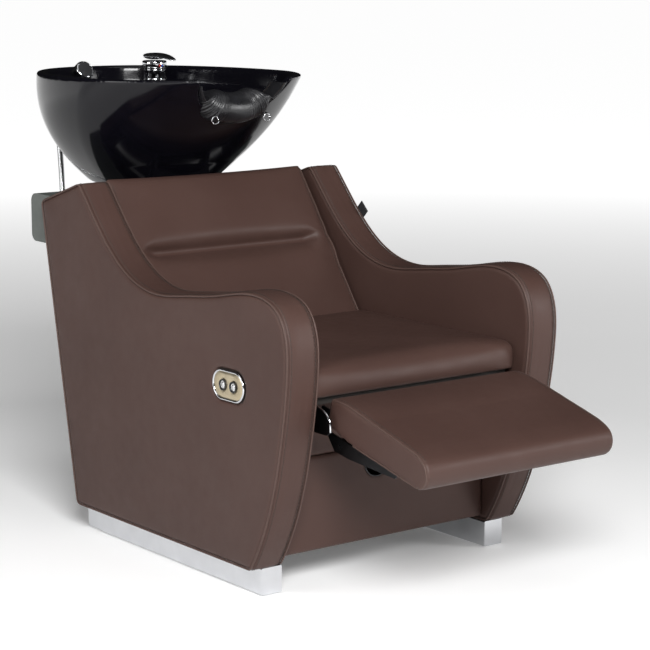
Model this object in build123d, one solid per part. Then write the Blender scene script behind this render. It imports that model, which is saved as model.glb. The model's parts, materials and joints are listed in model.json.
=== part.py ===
"""Shampoo backwash unit: an upholstered chair with a powered leg rest and a tilting ceramic basin.

Millimetres, +Z up.  The sitter faces -Y, the basin is at +Y, and the hand control is on the arm at -X.
The drawing datum is the floor under the front end of the foot rails; every part is moved by ORIGIN_Y
when it is written, so the origin of the parts is on the floor under the middle of the whole unit.
"""
import os
from math import atan2, cos, hypot, pi, radians, sin, tan
from build123d import *

# ---- overall ----
ORIGIN_Y = -368.6           # moves the datum to the middle of the overall length
HALF_WIDTH = 345.0          # outer face of each arm
ARM_THICKNESS = 78.0
INNER = HALF_WIDTH - ARM_THICKNESS
COVER = 6.0                 # leather with its foam backing
GAP = 0.4                   # between pieces that do not touch

# ---- arms ----
ARM_BOTTOM = 57.0
ARM_CURVE = [(-2, 57), (-69, 190), (-108, 340), (-125, 460), (-120, 537), (-95, 580), (-45, 602), (20, 603),
             (110, 587), (220, 573), (320, 564), (400, 578), (465, 611), (540, 677), (617, 762)]
ARM_REAR_TOP = (777, 711)
ARM_REAR_FOOT = (650, ARM_BOTTOM)
ARM_CORNER_R = 14.0
REAR_LEAN = atan2(ARM_REAR_TOP[0] - ARM_REAR_FOOT[0], ARM_REAR_TOP[1] - ARM_REAR_FOOT[1])

# ---- feet ----
RAIL_OUTER = 314.6
RAIL_WIDTH = 48.6
RAIL_LENGTH = 599.0
GLIDE = 2.0
BLOCK_START, BLOCK_END = 606.0, 661.0
BLOCK_INSET = 5.0

# ---- seat and back ----
SEAT_FRONT, SEAT_BOTTOM, SEAT_TOP = -94.0, 400.0, 462.0
BOARD = 15.0
BACK_FOOT = (396.0, 429.0)  # lower front edge of the back cushion
BACK_HEAD = (642.0, 768.0)  # upper front edge of the back cushion
BACK_LEAN = atan2(BACK_HEAD[0] - BACK_FOOT[0], BACK_HEAD[1] - BACK_FOOT[1])
BACK_HALF_WIDTH = 260.0
BACK_FOAM = 45.0

# ---- leg rest: along the pad is S, away from its underside is N, both from the hinge axis ----
HINGE_Y, HINGE_Z = -92.0, 372.0
PAD_DROP = radians(12.6)    # the raised pad slopes down by this much
PAD_S0, PAD_S1 = 15.0, 323.66
PAD_TOP, PAD_BOARD_TOP, PAD_UNDER = 44.0, -17.0, -29.0
PAD_HALF_WIDTH = 238.0
CRANK = 75.0
CRANK_ANGLE = radians(38.7)  # the crank leans forward by this much when the pad is up
PIN_R = 5.0
RUNNING = 0.05

# ---- rear beam ----
BEAM_Y0, BEAM_Y1, BEAM_Z0, BEAM_Z1 = 786.0, 836.0, 625.0, 705.0
COVER_REAR, COVER_Z0, COVER_Z1, COVER_HALF = 861.0, 613.0, 719.0, 320.0

# ---- basin ----
RIM_Z = 976.0
RIM_HALF, RIM_FRONT, RIM_WIDEST, RIM_REAR = 270.0, 430.0, 720.0, 1150.0
BASIN_DEPTH = 241.0
DECK_DROP = 51.0
FLOOR_DROP = 219.0
WALL_SIDE, WALL_FRONT = 22.0, 30.0
BASIN_REAR = 955.0
SADDLE_HALF, SADDLE_DEPTH = 118.0, 93.0
SADDLE_CENTRE_Z = RIM_Z + 10.0
TILT_Y, TILT_Z = 700.0, 712.0
DRAIN_Y = 893.0
TAP_X, DECK_FIT_Y = 105.0, 1010.0
SPRAY_X, SPRAY_Y = -110.0, 1040.0
SPRAY_LEAN = radians(30.0)  # of the holder and the neck of the spray
BELL_LEAN = radians(60.0)
TAP_R = 29.0

# ---- control ----
CONTROL_Y, CONTROL_Z = 67.0, 414.0
CONTROL_LENGTH, CONTROL_HEIGHT = 107.0, 62.0
BUTTON_PITCH, BUTTON_R = 35.0, 9.0

# ---- spray hose: from the tap's outlet, down behind the chair and up to the spray holder ----
HOSE_DIAMETER = 14.0
HOSE_ROUTE = [(105, 1024, 868), (105, 1024, 790), (109, 1026, 665), (114, 1030, 515), (111, 1033, 375),
              (94, 1036, 268), (52, 1039, 203), (-6, 1042, 182), (-64, 1046, 205), (-102, 1051, 272),
              (-118, 1057, 378), (-119, 1063, 508), (-115, 1071, 635), (-111, 1084, 748), (-110, 1095, 829.7),
              (-110, 1065, 881.7)]


def save(name, *shapes):
    """Write one node: its solids, moved so that the origin is under the middle of the unit."""
    solids = [Pos(0, ORIGIN_Y, 0) * solid for shape in shapes for solid in shape.solids()]
    node = solids[0] if len(solids) == 1 else Compound(children=solids)
    export_step(node, f"parts/{name}.step")
    ALL_BOXES.append(node.bounding_box())


def box(x0, x1, y0, y1, z0, z1):
    return Pos((x0 + x1) / 2, (y0 + y1) / 2, (z0 + z1) / 2) * Box(x1 - x0, y1 - y0, z1 - z0)


def mirrored_pair(shape):
    return shape, mirror(shape, Plane.YZ)


def side_prism(face, x0, x1):
    """A face drawn with (Y, Z) coordinates, made solid between two X positions."""
    low, high = min(x0, x1), max(x0, x1)
    return Pos(low, 0, 0) * extrude(Plane.YZ * face, high - low)


def polygon(*points):
    return make_face(Polyline(*points, close=True))


def rod(start, end, radius):
    start, end = Vector(*start), Vector(*end)
    return Plane(start, z_dir=end - start) * Cylinder(
        radius, (end - start).length, align=(Align.CENTER, Align.CENTER, Align.MIN))


def pad_point(s, n):
    """A point of the raised leg rest, from its distance along the pad and above the hinge."""
    y = HINGE_Y - s * cos(PAD_DROP) - n * sin(PAD_DROP)
    z = HINGE_Z - s * sin(PAD_DROP) + n * cos(PAD_DROP)
    return y, z


def back_point(along, behind):
    """A point of the backrest, from its distance up the front face and behind it."""
    y = BACK_FOOT[0] + along * sin(BACK_LEAN) + behind * cos(BACK_LEAN)
    z = BACK_FOOT[1] + along * cos(BACK_LEAN) - behind * sin(BACK_LEAN)
    return y, z


def rear_point(z, inward):
    """A point at height z, a level distance in front of the arms' leaning rear edge."""
    return ARM_REAR_FOOT[0] + (z - ARM_BOTTOM) * tan(REAR_LEAN) - inward, z


# ---------------------------------------------------------------- arms and feet

def arm_face():
    curve = Spline(*ARM_CURVE)
    face = make_face([curve, Line(curve @ 1, ARM_REAR_TOP), Line(ARM_REAR_TOP, ARM_REAR_FOOT),
                      Line(ARM_REAR_FOOT, curve @ 0)])
    return fillet(face.vertices(), ARM_CORNER_R)


def inset_corner(before, corner, after, inset):
    """The corner of an outline, moved inwards so that both its sides move by inset."""
    one, other = (before - corner).normalized(), (after - corner).normalized()
    half_angle = radians(one.get_angle(other)) / 2
    return corner + (one + other).normalized() * (inset / sin(half_angle))


def arm_core_face():
    """The arm's outline, smaller all round by the thickness of the cover."""
    curve = Spline(*ARM_CURVE)
    rear_top, rear_foot = Vector(*ARM_REAR_TOP), Vector(*ARM_REAR_FOOT)
    points = [inset_corner(rear_foot, curve @ 0, curve @ 0.02, COVER)]
    count = 16
    for k in range(1, count):
        along = curve % (k / count)
        points.append(curve @ (k / count) + Vector(along.Y, -along.X) * COVER)
    points.append(inset_corner(curve @ 0.98, curve @ 1, rear_top, COVER))
    inner = Spline(*points)
    top = inset_corner(curve @ 1, rear_top, rear_foot, COVER)
    foot = inset_corner(rear_top, rear_foot, curve @ 0, COVER)
    return make_face([inner, Line(inner @ 1, top), Line(top, foot), Line(foot, inner @ 0)])


def control_oval(grow):
    """The outline of the hand control, on the (Y, Z) plane."""
    height = CONTROL_HEIGHT + 2 * grow
    return Pos(CONTROL_Y, CONTROL_Z) * SlotOverall(CONTROL_LENGTH + 2 * grow, height)


def arms():
    face = arm_face()
    core_face = arm_core_face()
    outer, inner = HALF_WIDTH, INNER
    core = side_prism(core_face, inner + COVER, outer - COVER)
    outer_cover = side_prism(face, outer - COVER, outer)
    inner_cover = side_prism(face, inner, inner + COVER)
    band = side_prism(face - core_face, inner + COVER, outer - COVER)
    for name, shape in (("arm_core", core), ("arm_outer_cover", outer_cover),
                        ("arm_inner_cover", inner_cover), ("arm_band", band)):
        right, left = mirrored_pair(shape)
        if name == "arm_outer_cover":
            left -= side_prism(control_oval(GAP), -outer, -outer + COVER)
        if name == "arm_core":
            left -= box(-outer + COVER, -outer + 42, CONTROL_Y - 34, CONTROL_Y + 34,
                        CONTROL_Z - 20, CONTROL_Z + 20)
        save(name + "_left", left)
        save(name + "_right", right)


def feet():
    inner = RAIL_OUTER - RAIL_WIDTH
    wall = 3.0
    top = ARM_BOTTOM - GAP
    rail = box(inner, RAIL_OUTER, 0, RAIL_LENGTH, GLIDE, top)
    rail = fillet(rail.edges().filter_by(Axis.Y), 2.5)
    rail -= box(inner + wall, RAIL_OUTER - wall, wall, RAIL_LENGTH, GLIDE + wall, top - wall)
    right, left = mirrored_pair(rail)
    save("foot_rail_left", left)
    save("foot_rail_right", right)
    block = box(inner + BLOCK_INSET, RAIL_OUTER - BLOCK_INSET, BLOCK_START, BLOCK_END, GLIDE, top)
    block = fillet(block.edges().filter_by(Axis.Z), 3)
    save("foot_rear_blocks", *mirrored_pair(block))
    strips = []
    for start, end in ((10, RAIL_LENGTH - 10), (BLOCK_START + 5, BLOCK_END - 5)):
        strips += mirrored_pair(box(inner + 10, RAIL_OUTER - 10, start, end, 0, GLIDE))
    save("foot_glides", *strips)


# ---------------------------------------------------------------- hand control

def hand_control():
    x0 = -HALF_WIDTH
    bezel = side_prism(control_oval(0), x0, x0 + COVER)
    switch = box(x0 + COVER + GAP, x0 + 34, CONTROL_Y - 32, CONTROL_Y + 32, CONTROL_Z - 18, CONTROL_Z + 18)
    for name, offset_y in (("button_up", BUTTON_PITCH / 2), ("button_down", -BUTTON_PITCH / 2)):
        place = Pos(0, CONTROL_Y + offset_y, CONTROL_Z)
        hole = place * rod((x0 - 1, 0, 0), (x0 + COVER + 1, 0, 0), BUTTON_R + 0.3)
        pocket = place * rod((x0 + COVER, 0, 0), (x0 + COVER + 6, 0, 0), BUTTON_R + 0.6)
        bezel -= hole
        switch -= pocket
        button = place * rod((x0, 0, 0), (x0 + COVER + 2.5, 0, 0), BUTTON_R)
        save(name, button)
    save("control_bezel", bezel)
    save("control_switch_box", switch)


# ---------------------------------------------------------------- frame and panels

def frame():
    tube_z0, tube_z1 = 345.0, 384.0
    side = box(232, 262, 24, 640, tube_z0, tube_z1)
    seat_tubes = list(mirrored_pair(side))
    for y0 in (30.0, 440.0):
        seat_tubes.append(box(-232 + GAP, 232 - GAP, y0, y0 + 30, tube_z0, tube_z1))
    save("seat_frame_tubes", *seat_tubes)

    post_foot, post_top = 82.0, 600.0
    post = side_prism(polygon(rear_point(post_foot, 54), rear_point(post_foot, 22),
                              rear_point(post_top, 22), rear_point(post_top, 54)), 232, 262)
    post -= box(230, 264, 500, 640 + GAP, tube_z0 - GAP, tube_z1 + GAP)
    save("frame_posts", *mirrored_pair(post))

    stub = side_prism(polygon(rear_point(post_top + GAP, 54), rear_point(post_top + GAP, 22),
                              (BEAM_Y0, 640), (BEAM_Y0, 690), rear_point(680, 54)), 232, 262)
    beam = box(-300, 300, BEAM_Y0, BEAM_Y1, BEAM_Z0, BEAM_Z1)
    beam -= box(-301, 301, BEAM_Y0 + 4, BEAM_Y1 - 4, BEAM_Z0 + 4, BEAM_Z1 - 4)
    beam += stub
    beam += mirror(stub, Plane.YZ)
    save("rear_beam", beam)

    cover = side_prism(polygon(rear_point(COVER_Z0, -1.5), (COVER_REAR, COVER_Z0), (COVER_REAR, COVER_Z1),
                               rear_point(COVER_Z1, -1.5)), -COVER_HALF, COVER_HALF)
    rear_edges = cover.edges().filter_by(Axis.X).group_by(Axis.Y)[-1]
    cover = fillet(rear_edges, 18)
    wall = 4.0
    cover -= side_prism(polygon((700, COVER_Z0 + wall), (COVER_REAR - wall, COVER_Z0 + wall),
                                (COVER_REAR - wall, COVER_Z1 - wall), (700, COVER_Z1 - wall)),
                        -COVER_HALF + wall, COVER_HALF - wall)
    save("rear_beam_cover", cover)

    bolts = []
    for y in (120, 520):
        bolts += mirrored_pair(rod((226, y, 365), (232 - GAP, y, 365), 8))
    save("frame_bolts", *bolts)


def panels():
    lower = box(-INNER + 3, INNER - 3, 7, 22, 69, 261)
    lower -= rod((-20, 0, 229), (-20, 30, 229), 30)
    save("front_panel_lower", lower)
    upper = box(-INNER + 3, INNER - 3, 7, 22, 263, 384)
    upper -= box(-32, 32, 0, 30, 268, 336)
    for slot in mirrored_pair(box(246, 256, 0, 30, 343, 385)):
        upper -= slot
    save("front_panel_upper", upper)
    rear = side_prism(polygon(rear_point(69, 18), rear_point(69, 3), rear_point(597, 3), rear_point(597, 18)),
                      -INNER + 3, INNER - 3)
    inlet = rear_point(130, 10)
    rear -= box(-205, -145, inlet[0] - 20, inlet[0] + 20, 112, 148)
    save("rear_panel", rear)
    save("base_board", box(-INNER + 3, INNER - 3, 24, 595, 69, 81))
    socket = box(-204, -146, inlet[0] - 28, inlet[0] + 6, 113, 147)
    socket -= box(-189, -161, inlet[0] - 12, inlet[0] + 7, 120, 140)
    save("mains_inlet", socket)
    supply = fillet(box(60, 220, 470, 550, 81 + GAP, 129).edges().filter_by(Axis.Z), 6)
    save("power_supply", supply)


# ---------------------------------------------------------------- seat and back

def seat_and_back():
    save("seat_board", box(-255, 255, -70, 340, SEAT_BOTTOM - BOARD, SEAT_BOTTOM - GAP))
    gap = 2.0
    low = back_point(0, -gap)[0] + (SEAT_BOTTOM - BACK_FOOT[1]) * tan(BACK_LEAN)
    high = low + (SEAT_TOP - SEAT_BOTTOM) * tan(BACK_LEAN)
    cushion = side_prism(polygon((SEAT_FRONT, SEAT_BOTTOM), (low, SEAT_BOTTOM), (high, SEAT_TOP),
                                 (SEAT_FRONT, SEAT_TOP)), -INNER + 3, INNER - 3)
    front = cushion.edges().filter_by(Axis.X).group_by(Axis.Y)[0].sort_by(Axis.Z)
    cushion = fillet(front[-1], 26)
    save("seat_cushion", cushion)

    length = hypot(BACK_HEAD[0] - BACK_FOOT[0], BACK_HEAD[1] - BACK_FOOT[1])
    back = side_prism(polygon(back_point(0, 0), back_point(0, BACK_FOAM), back_point(length, BACK_FOAM),
                              back_point(length, 0)), -BACK_HALF_WIDTH, BACK_HALF_WIDTH)
    head = back.edges().filter_by(Axis.X).group_by(Axis.Z)[-1]
    back = fillet(head, 16)
    save("backrest_cushion", back)
    board_back = BACK_FOAM + BOARD - 3
    board = side_prism(polygon(back_point(0, BACK_FOAM + GAP), back_point(0, board_back),
                               back_point(length - 4, board_back), back_point(length - 4, BACK_FOAM + GAP)),
                       -BACK_HALF_WIDTH + 6, BACK_HALF_WIDTH - 6)
    save("backrest_board", board)
    skin = side_prism(polygon(back_point(0, board_back + GAP), back_point(0, board_back + 3),
                              back_point(length - 4, board_back + 3), back_point(length - 4, board_back + GAP)),
                      -BACK_HALF_WIDTH, BACK_HALF_WIDTH)
    save("backrest_back_cover", skin)
    seam = [(498, 663), (520, 657), (544, 684), (523, 690)]
    save("side_tag", side_prism(polygon(*seam), HALF_WIDTH - 2.6, HALF_WIDTH - 1.2)
         - side_prism(arm_face(), HALF_WIDTH - 3, HALF_WIDTH))


# ---------------------------------------------------------------- leg rest

def pad_prism(corners, x0, x1):
    return side_prism(polygon(*[pad_point(s, n) for s, n in corners]), x0, x1)


def crank_point():
    return HINGE_Y - CRANK * sin(CRANK_ANGLE), HINGE_Z - CRANK * cos(CRANK_ANGLE)


def leg_rest():
    cushion = pad_prism([(PAD_S0, PAD_BOARD_TOP + GAP), (PAD_S1, PAD_BOARD_TOP + GAP), (PAD_S1, PAD_TOP),
                         (PAD_S0, PAD_TOP)], -PAD_HALF_WIDTH, PAD_HALF_WIDTH)
    nose = cushion.edges().filter_by(Axis.X).group_by(Axis.Y)[0]
    cushion = fillet(nose, 24)
    save("legrest_cushion", cushion)
    board = pad_prism([(PAD_S0 + 6, PAD_UNDER), (PAD_S1 - 12, PAD_UNDER), (PAD_S1 - 12, PAD_BOARD_TOP),
                       (PAD_S0 + 6, PAD_BOARD_TOP)], -228, 228)
    yoke_notch = pad_prism([(0, PAD_UNDER - 10), (125, PAD_UNDER - 10), (125, PAD_BOARD_TOP + 1),
                            (0, PAD_BOARD_TOP + 1)], -18, 18)
    save("legrest_board", board - yoke_notch)

    plate_x0, plate_x1 = 226.0, 230.0
    crank_y, crank_z = crank_point()
    eye_r, plate_top, plate_end = 12.0, PAD_UNDER - GAP, 228.0
    corners = ((-eye_r, eye_r), (eye_r, eye_r), (eye_r, plate_top), (plate_end, plate_top),
               (plate_end, plate_top - 9), (88, plate_top - 29), (44, plate_top - 31), (-eye_r, -eye_r))
    outline = fillet(polygon(*[pad_point(s, n) for s, n in corners]).vertices(), 3)
    plate = side_prism(outline, plate_x0, plate_x1)
    flange = pad_prism([(55, plate_top - 3.6), (222, plate_top - 3.6), (222, plate_top), (55, plate_top)],
                       205, plate_x0)
    bracket = plate + flange
    bracket -= rod((plate_x0 - 1, HINGE_Y, HINGE_Z), (plate_x1 + 1, HINGE_Y, HINGE_Z), PIN_R + RUNNING)
    bracket -= rod((plate_x0 - 1, crank_y, crank_z), (plate_x1 + 1, crank_y, crank_z), PIN_R)
    save("legrest_brackets", *mirrored_pair(bracket))
    save("legrest_crossbar", rod((-plate_x1 - 3, crank_y, crank_z), (plate_x1 + 3, crank_y, crank_z), PIN_R))

    fixed_x0, fixed_x1 = 248.0, 254.0
    fixed = polygon((20, 346), (90, 346), (90, 383), (-68, 383), (-91, 389), (-109, 385.5), (-125, 378.5),
                    (-133, 372), (-137.5, 363), (-137.5, 345), (-129, 338), (-60, 338))
    pivot = side_prism(fixed, fixed_x0, fixed_x1)
    pivot -= box(231, 263, 23.5, 100, 344, 385)
    pivot -= box(200, 263, 6.5, 22.5, 200, 385)
    pivot -= rod((fixed_x0 - 1, HINGE_Y, HINGE_Z), (fixed_x1 + 1, HINGE_Y, HINGE_Z), PIN_R)
    lug = box(fixed_x0, fixed_x1, 4, 24, 346, 383)
    save("legrest_pivot_plates", *mirrored_pair(pivot + lug))
    pin = rod((plate_x0 - 1, HINGE_Y, HINGE_Z), (fixed_x1 + 4, HINGE_Y, HINGE_Z), PIN_R)
    head = rod((plate_x0 - 4, HINGE_Y, HINGE_Z), (plate_x0 - 1, HINGE_Y, HINGE_Z), 8)
    save("legrest_hinge_pins", *mirrored_pair(pin + head))


def actuator():
    """A straight drive: its rod ends in a yoke whose upright slot carries the leg rest's cross bar."""
    crank_y, crank_z = crank_point()
    axis_z = HINGE_Z - CRANK * (1 + cos(CRANK_ANGLE)) / 2
    slot_half_height = CRANK * (1 - cos(CRANK_ANGLE)) / 2 + PIN_R + 1.5
    rod_r = 11.0
    yoke = box(-9, 9, crank_y - 12, crank_y + 14, axis_z - slot_half_height - 6, axis_z + slot_half_height + 4)
    yoke -= box(-10, 10, crank_y - PIN_R - 2.2, crank_y + PIN_R + 2.2, axis_z - slot_half_height,
                axis_z + slot_half_height)
    yoke += rod((0, crank_y + 14, axis_z), (0, 190, axis_z), rod_r)
    save("actuator_rod", yoke)
    tube = rod((0, 60, axis_z), (0, 400, axis_z), 19)
    tube += box(-30, 30, 330, 400, axis_z - 30, axis_z + 30)
    tube += box(-26, 26, 300, 398, axis_z - 96, axis_z - 30)
    tube -= rod((0, 59, axis_z), (0, 300, axis_z), rod_r + RUNNING)
    hanger = box(-12, 12, 400, 450, axis_z - 14, axis_z + 14) + box(-12, 12, 445, 465, axis_z - 14, 345 - GAP)
    save("actuator_body", tube + hanger)


# ---------------------------------------------------------------- basin

def shrink(drop):
    """How far the basin's side has pulled in, this far below the rim."""
    side = 110 * (drop / 229) ** 2.3
    lip = max(0.0, drop - 229)
    return side + 0.5 * lip ** 1.2


def loop(half, front, rear, widest, front_power, rear_power, z, count=20):
    """A level egg-shaped outline through points of two joined superellipses."""
    points = []
    for k in range(count):
        angle = 2 * pi * k / count
        c, s = cos(angle), sin(angle)
        power = rear_power if s >= 0 else front_power
        reach = rear - widest if s >= 0 else widest - front
        x = half * abs(c) ** (2 / power) * (1 if c >= 0 else -1)
        y = widest + reach * abs(s) ** (2 / power) * (1 if s >= 0 else -1)
        points.append((x, y, z))
    return make_face(Spline(*points, periodic=True))


def outer_front(drop):
    return RIM_FRONT + 255 * (drop / 195) ** 0.97 - max(0.0, drop - 200) * 0.35


def outer_loop(drop):
    pull = shrink(drop)
    widest = RIM_WIDEST + 0.5 * drop
    return loop(RIM_HALF - pull, outer_front(drop), RIM_REAR - pull, widest, 1.68 + 0.45 * drop / BASIN_DEPTH,
                2.25, RIM_Z - drop)


def recess_loop(drop):
    inset = WALL_SIDE + 0.12 * drop
    return loop(RIM_HALF - inset, RIM_FRONT + inset + 12 + drop, RIM_REAR - inset, RIM_WIDEST + 0.3 * drop,
                1.75, 2.25, RIM_Z - drop)


def inner_loop(drop):
    pull = shrink(drop) + WALL_SIDE + 6
    rear = BASIN_REAR - 25 * ((drop - DECK_DROP) / (FLOOR_DROP - DECK_DROP)) ** 2
    front = outer_front(drop) + WALL_FRONT
    widest = min(RIM_WIDEST + 0.5 * drop, 0.45 * front + 0.55 * rear)
    return loop(RIM_HALF - pull, front, rear, widest, 1.85, 2.4, RIM_Z - drop)


def saddle(lift, y0, y1):
    """The space over the neck cut-out, its floor raised by lift."""
    half, depth, z = SADDLE_HALF - lift, SADDLE_DEPTH - lift, SADDLE_CENTRE_Z
    curve = Spline((-half, z), (-0.72 * half, z - 0.694 * depth), (0, z - depth),
                   (0.72 * half, z - 0.694 * depth), (half, z), tangents=((0, -1), (0, 1)))
    profile = make_face([curve, Line(curve @ 1, (half, z + 60)), Line((half, z + 60), (-half, z + 60)),
                         Line((-half, z + 60), curve @ 0)])
    return Pos(0, y1, 0) * extrude(Plane.XZ * profile, y1 - y0)


def spray_axis(along):
    """A point on the spray's leaning axis, counted up from the deck."""
    y = SPRAY_Y - along * sin(SPRAY_LEAN)
    return SPRAY_X, y, RIM_Z - DECK_DROP + along * cos(SPRAY_LEAN)


def basin():
    outer_drops = (0, 30, 60, 90, 120, 150, 175, 200, 220, 233, BASIN_DEPTH)
    inner_drops = (DECK_DROP - 1, 80, 110, 140, 165, 190, 207, FLOOR_DROP)
    outer = loft([outer_loop(drop) for drop in outer_drops], ruled=True)
    recess = loft([recess_loop(drop) for drop in (-1, DECK_DROP)], ruled=True)
    well = loft([inner_loop(drop) for drop in inner_drops], ruled=True)
    body = outer - recess - well - saddle(0, 380, 640)
    pocket = fillet(box(-150, 150, 985, 1098, 650, RIM_Z - DECK_DROP - 14).edges().filter_by(Axis.Z), 25)
    body -= pocket
    deck_z = RIM_Z - DECK_DROP
    body -= rod((TAP_X, DECK_FIT_Y, deck_z - 30), (TAP_X, DECK_FIT_Y, deck_z + 5), 17)
    body -= rod(spray_axis(-40), spray_axis(20), 15.5)
    body -= rod((0, DRAIN_Y, 700), (0, DRAIN_Y, 800), 22.5)
    save("bowl", body)


def drain():
    floor_z = RIM_Z - FLOOR_DROP
    under = RIM_Z - BASIN_DEPTH
    flange = rod((0, DRAIN_Y, floor_z), (0, DRAIN_Y, floor_z + 3), 31)
    flange += rod((0, DRAIN_Y, 716), (0, DRAIN_Y, floor_z), 22)
    flange -= rod((0, DRAIN_Y, 710), (0, DRAIN_Y, floor_z + 5), 18)
    save("drain_flange", flange)
    strainer = rod((0, DRAIN_Y, floor_z + 3 + 0.2), (0, DRAIN_Y, floor_z + 6), 27)
    strainer += rod((0, DRAIN_Y, floor_z - 14), (0, DRAIN_Y, floor_z + 4), 16.5)
    strainer -= rod((0, DRAIN_Y, floor_z - 11), (0, DRAIN_Y, floor_z + 7), 14.5)
    for k in range(12):
        turn = Pos(0, DRAIN_Y, 0) * Rot(0, 0, 30 * k)
        strainer -= turn * rod((21, 0, floor_z), (21, 0, floor_z + 9), 2.2)
    for k in range(6):
        turn = Pos(0, DRAIN_Y, 0) * Rot(0, 0, 60 * k)
        strainer -= turn * rod((8, 0, floor_z - 20), (8, 0, floor_z - 5), 2.6)
    save("drain_strainer", strainer)
    tail = rod((0, DRAIN_Y, 700), (0, DRAIN_Y, under - GAP), 31)
    tail -= rod((0, DRAIN_Y, 716 - GAP), (0, DRAIN_Y, under + 1), 22.1)
    tail += rod((0, DRAIN_Y, 640), (0, DRAIN_Y, 700), 19)
    tail -= rod((0, DRAIN_Y, 639), (0, DRAIN_Y, 720), 16)
    save("drain_tail", tail)


def tilt_hinge():
    """The basin stands on a cradle that tips forward about a pin in front of the rear beam."""
    under = RIM_Z - BASIN_DEPTH
    plate = box(-80, 80, 712, 862, under - 6, under - GAP)
    ear = side_prism(polygon((712, under - 5), (748, under - 5), (720, TILT_Z - 12), (TILT_Y, TILT_Z - 12))
                     + Pos(TILT_Y, TILT_Z) * Circle(12), 74, 80)
    ear += side_prism(polygon((TILT_Y, TILT_Z + 12), (712, under - 1), (730, under - 1), (720, TILT_Z - 11),
                              (TILT_Y, TILT_Z - 12)), 74, 80)
    cradle = plate + ear + mirror(ear, Plane.YZ)
    cradle -= rod((-90, TILT_Y, TILT_Z), (90, TILT_Y, TILT_Z), PIN_R + RUNNING)
    save("bowl_cradle", cradle)
    side = side_prism(polygon((BEAM_Y0 - GAP, 640), (BEAM_Y0 - GAP, 700), (TILT_Y + 4, TILT_Z + 11),
                              (TILT_Y - 8, TILT_Z - 9))
                      + Pos(TILT_Y, TILT_Z) * Circle(12), 82, 88)
    back = box(-88, 88, BEAM_Y0 - 6, BEAM_Y0 - GAP, 640, 700)
    bracket = back + side + mirror(side, Plane.YZ)
    bracket -= rod((-95, TILT_Y, TILT_Z), (95, TILT_Y, TILT_Z), PIN_R)
    save("bowl_bracket", bracket)
    save("bowl_tilt_pin", rod((-91, TILT_Y, TILT_Z), (91, TILT_Y, TILT_Z), PIN_R))
    save("bowl_rest_buffer", fillet(box(-30, 30, 798, 838, COVER_Z1 + GAP, under - 6.3).edges().filter_by(Axis.Z), 5))


def neck_rest():
    pad = saddle(0.6, 497, 582) - saddle(32, 480, 600)
    pad -= box(-200, 200, 400, 700, RIM_Z - 10, RIM_Z + 200)
    save("neck_rest", pad)
    rings = []
    for x in (-64, 64):
        rings.append(Pos(x, 488, 906) * Rot(90, 0, 0) * Torus(7.5, 1.3))
    save("neck_rest_rings", *rings)


def tap():
    deck_z = RIM_Z - DECK_DROP
    place = Pos(TAP_X, DECK_FIT_Y, 0)
    body = rod((0, 0, deck_z + GAP), (0, 0, deck_z + 5), TAP_R + 4) + rod((0, 0, deck_z + 5), (0, 0, 972), TAP_R)
    body += rod((0, 0, deck_z - 26), (0, 0, deck_z + 1), 16)
    save("tap_body", place * body)
    cap = rod((0, 0, 972.3), (0, 0, 992), TAP_R)
    cap -= box(-12, 12, -40, 40, 984, 1000)
    cap -= rod((-40, 0, 990), (40, 0, 990), 3 + RUNNING)
    save("tap_cap", place * cap)
    lever_side = polygon((5.5, 990), (5.5, 993), (16, 996), (8, 1004), (-14, 1010), (-45, 1007.5), (-84, 999),
                         (-84, 994), (-46, 1001), (-24, 1001), (-12, 996), (-5.5, 993), (-5.5, 990))
    blade = side_prism(lever_side + Pos(0, 990) * Circle(5.5), -11.7, 11.7)
    lever = blade + rod((-27, 0, 990), (27, 0, 990), 3)
    save("tap_lever", place * lever)
    nut = Pos(0, 0, deck_z - 26) * extrude(RegularPolygon(23, 6), 11)
    save("tap_lock_nut", place * (nut - rod((0, 0, 800), (0, 0, 960), 16.1)))
    tails = []
    for side in (-1, 1):
        route = FilletPolyline((side * 9, -7, deck_z - 26 - GAP), (side * 9, -7, 880), (side * 20, -7, 850),
                               (side * 20, -7, 829), radius=22)
        pipe = sweep(Plane(route @ 0, z_dir=route % 0) * Circle(4.5), path=route)
        tails.append(place * (pipe + rod((side * 20, -7, 812), (side * 20, -7, 830), 8.3)))
    save("inlet_tails", *tails)


def spray():
    sleeve = rod(spray_axis(-38), spray_axis(3), 15) + rod(spray_axis(2.0), spray_axis(9), 21)
    sleeve -= box(-200, 0, 900, 1100, 800, RIM_Z - DECK_DROP + GAP) - rod(spray_axis(-60), spray_axis(30), 15)
    sleeve -= rod(spray_axis(-60), spray_axis(30), 10 + RUNNING)
    save("spray_holder", sleeve)
    elbow = Vector(*spray_axis(22))
    head = rod(spray_axis(-30), elbow, 10) + Pos(*elbow) * Sphere(12.5)
    bell = Plane(elbow, z_dir=Vector(0, -sin(BELL_LEAN), cos(BELL_LEAN)))
    head += loft([bell * Circle(12.4), bell.offset(26) * Circle(19), bell.offset(54) * Circle(22.5)])
    head += bell.offset(54) * Cylinder(22.5, 18, align=(Align.CENTER, Align.CENTER, Align.MIN))
    save("spray_head", head)
    end = Vector(*HOSE_ROUTE[-1])
    spray_nut = rod(end, end + (end - Vector(*HOSE_ROUTE[-2])).normalized() * 11.4, 10)
    tap_top = (TAP_X, DECK_FIT_Y + 14, RIM_Z - DECK_DROP - 26 - GAP)
    tap_nut = rod(HOSE_ROUTE[0], tap_top, 9.5)
    save("hose_nuts", spray_nut, tap_nut)


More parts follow.
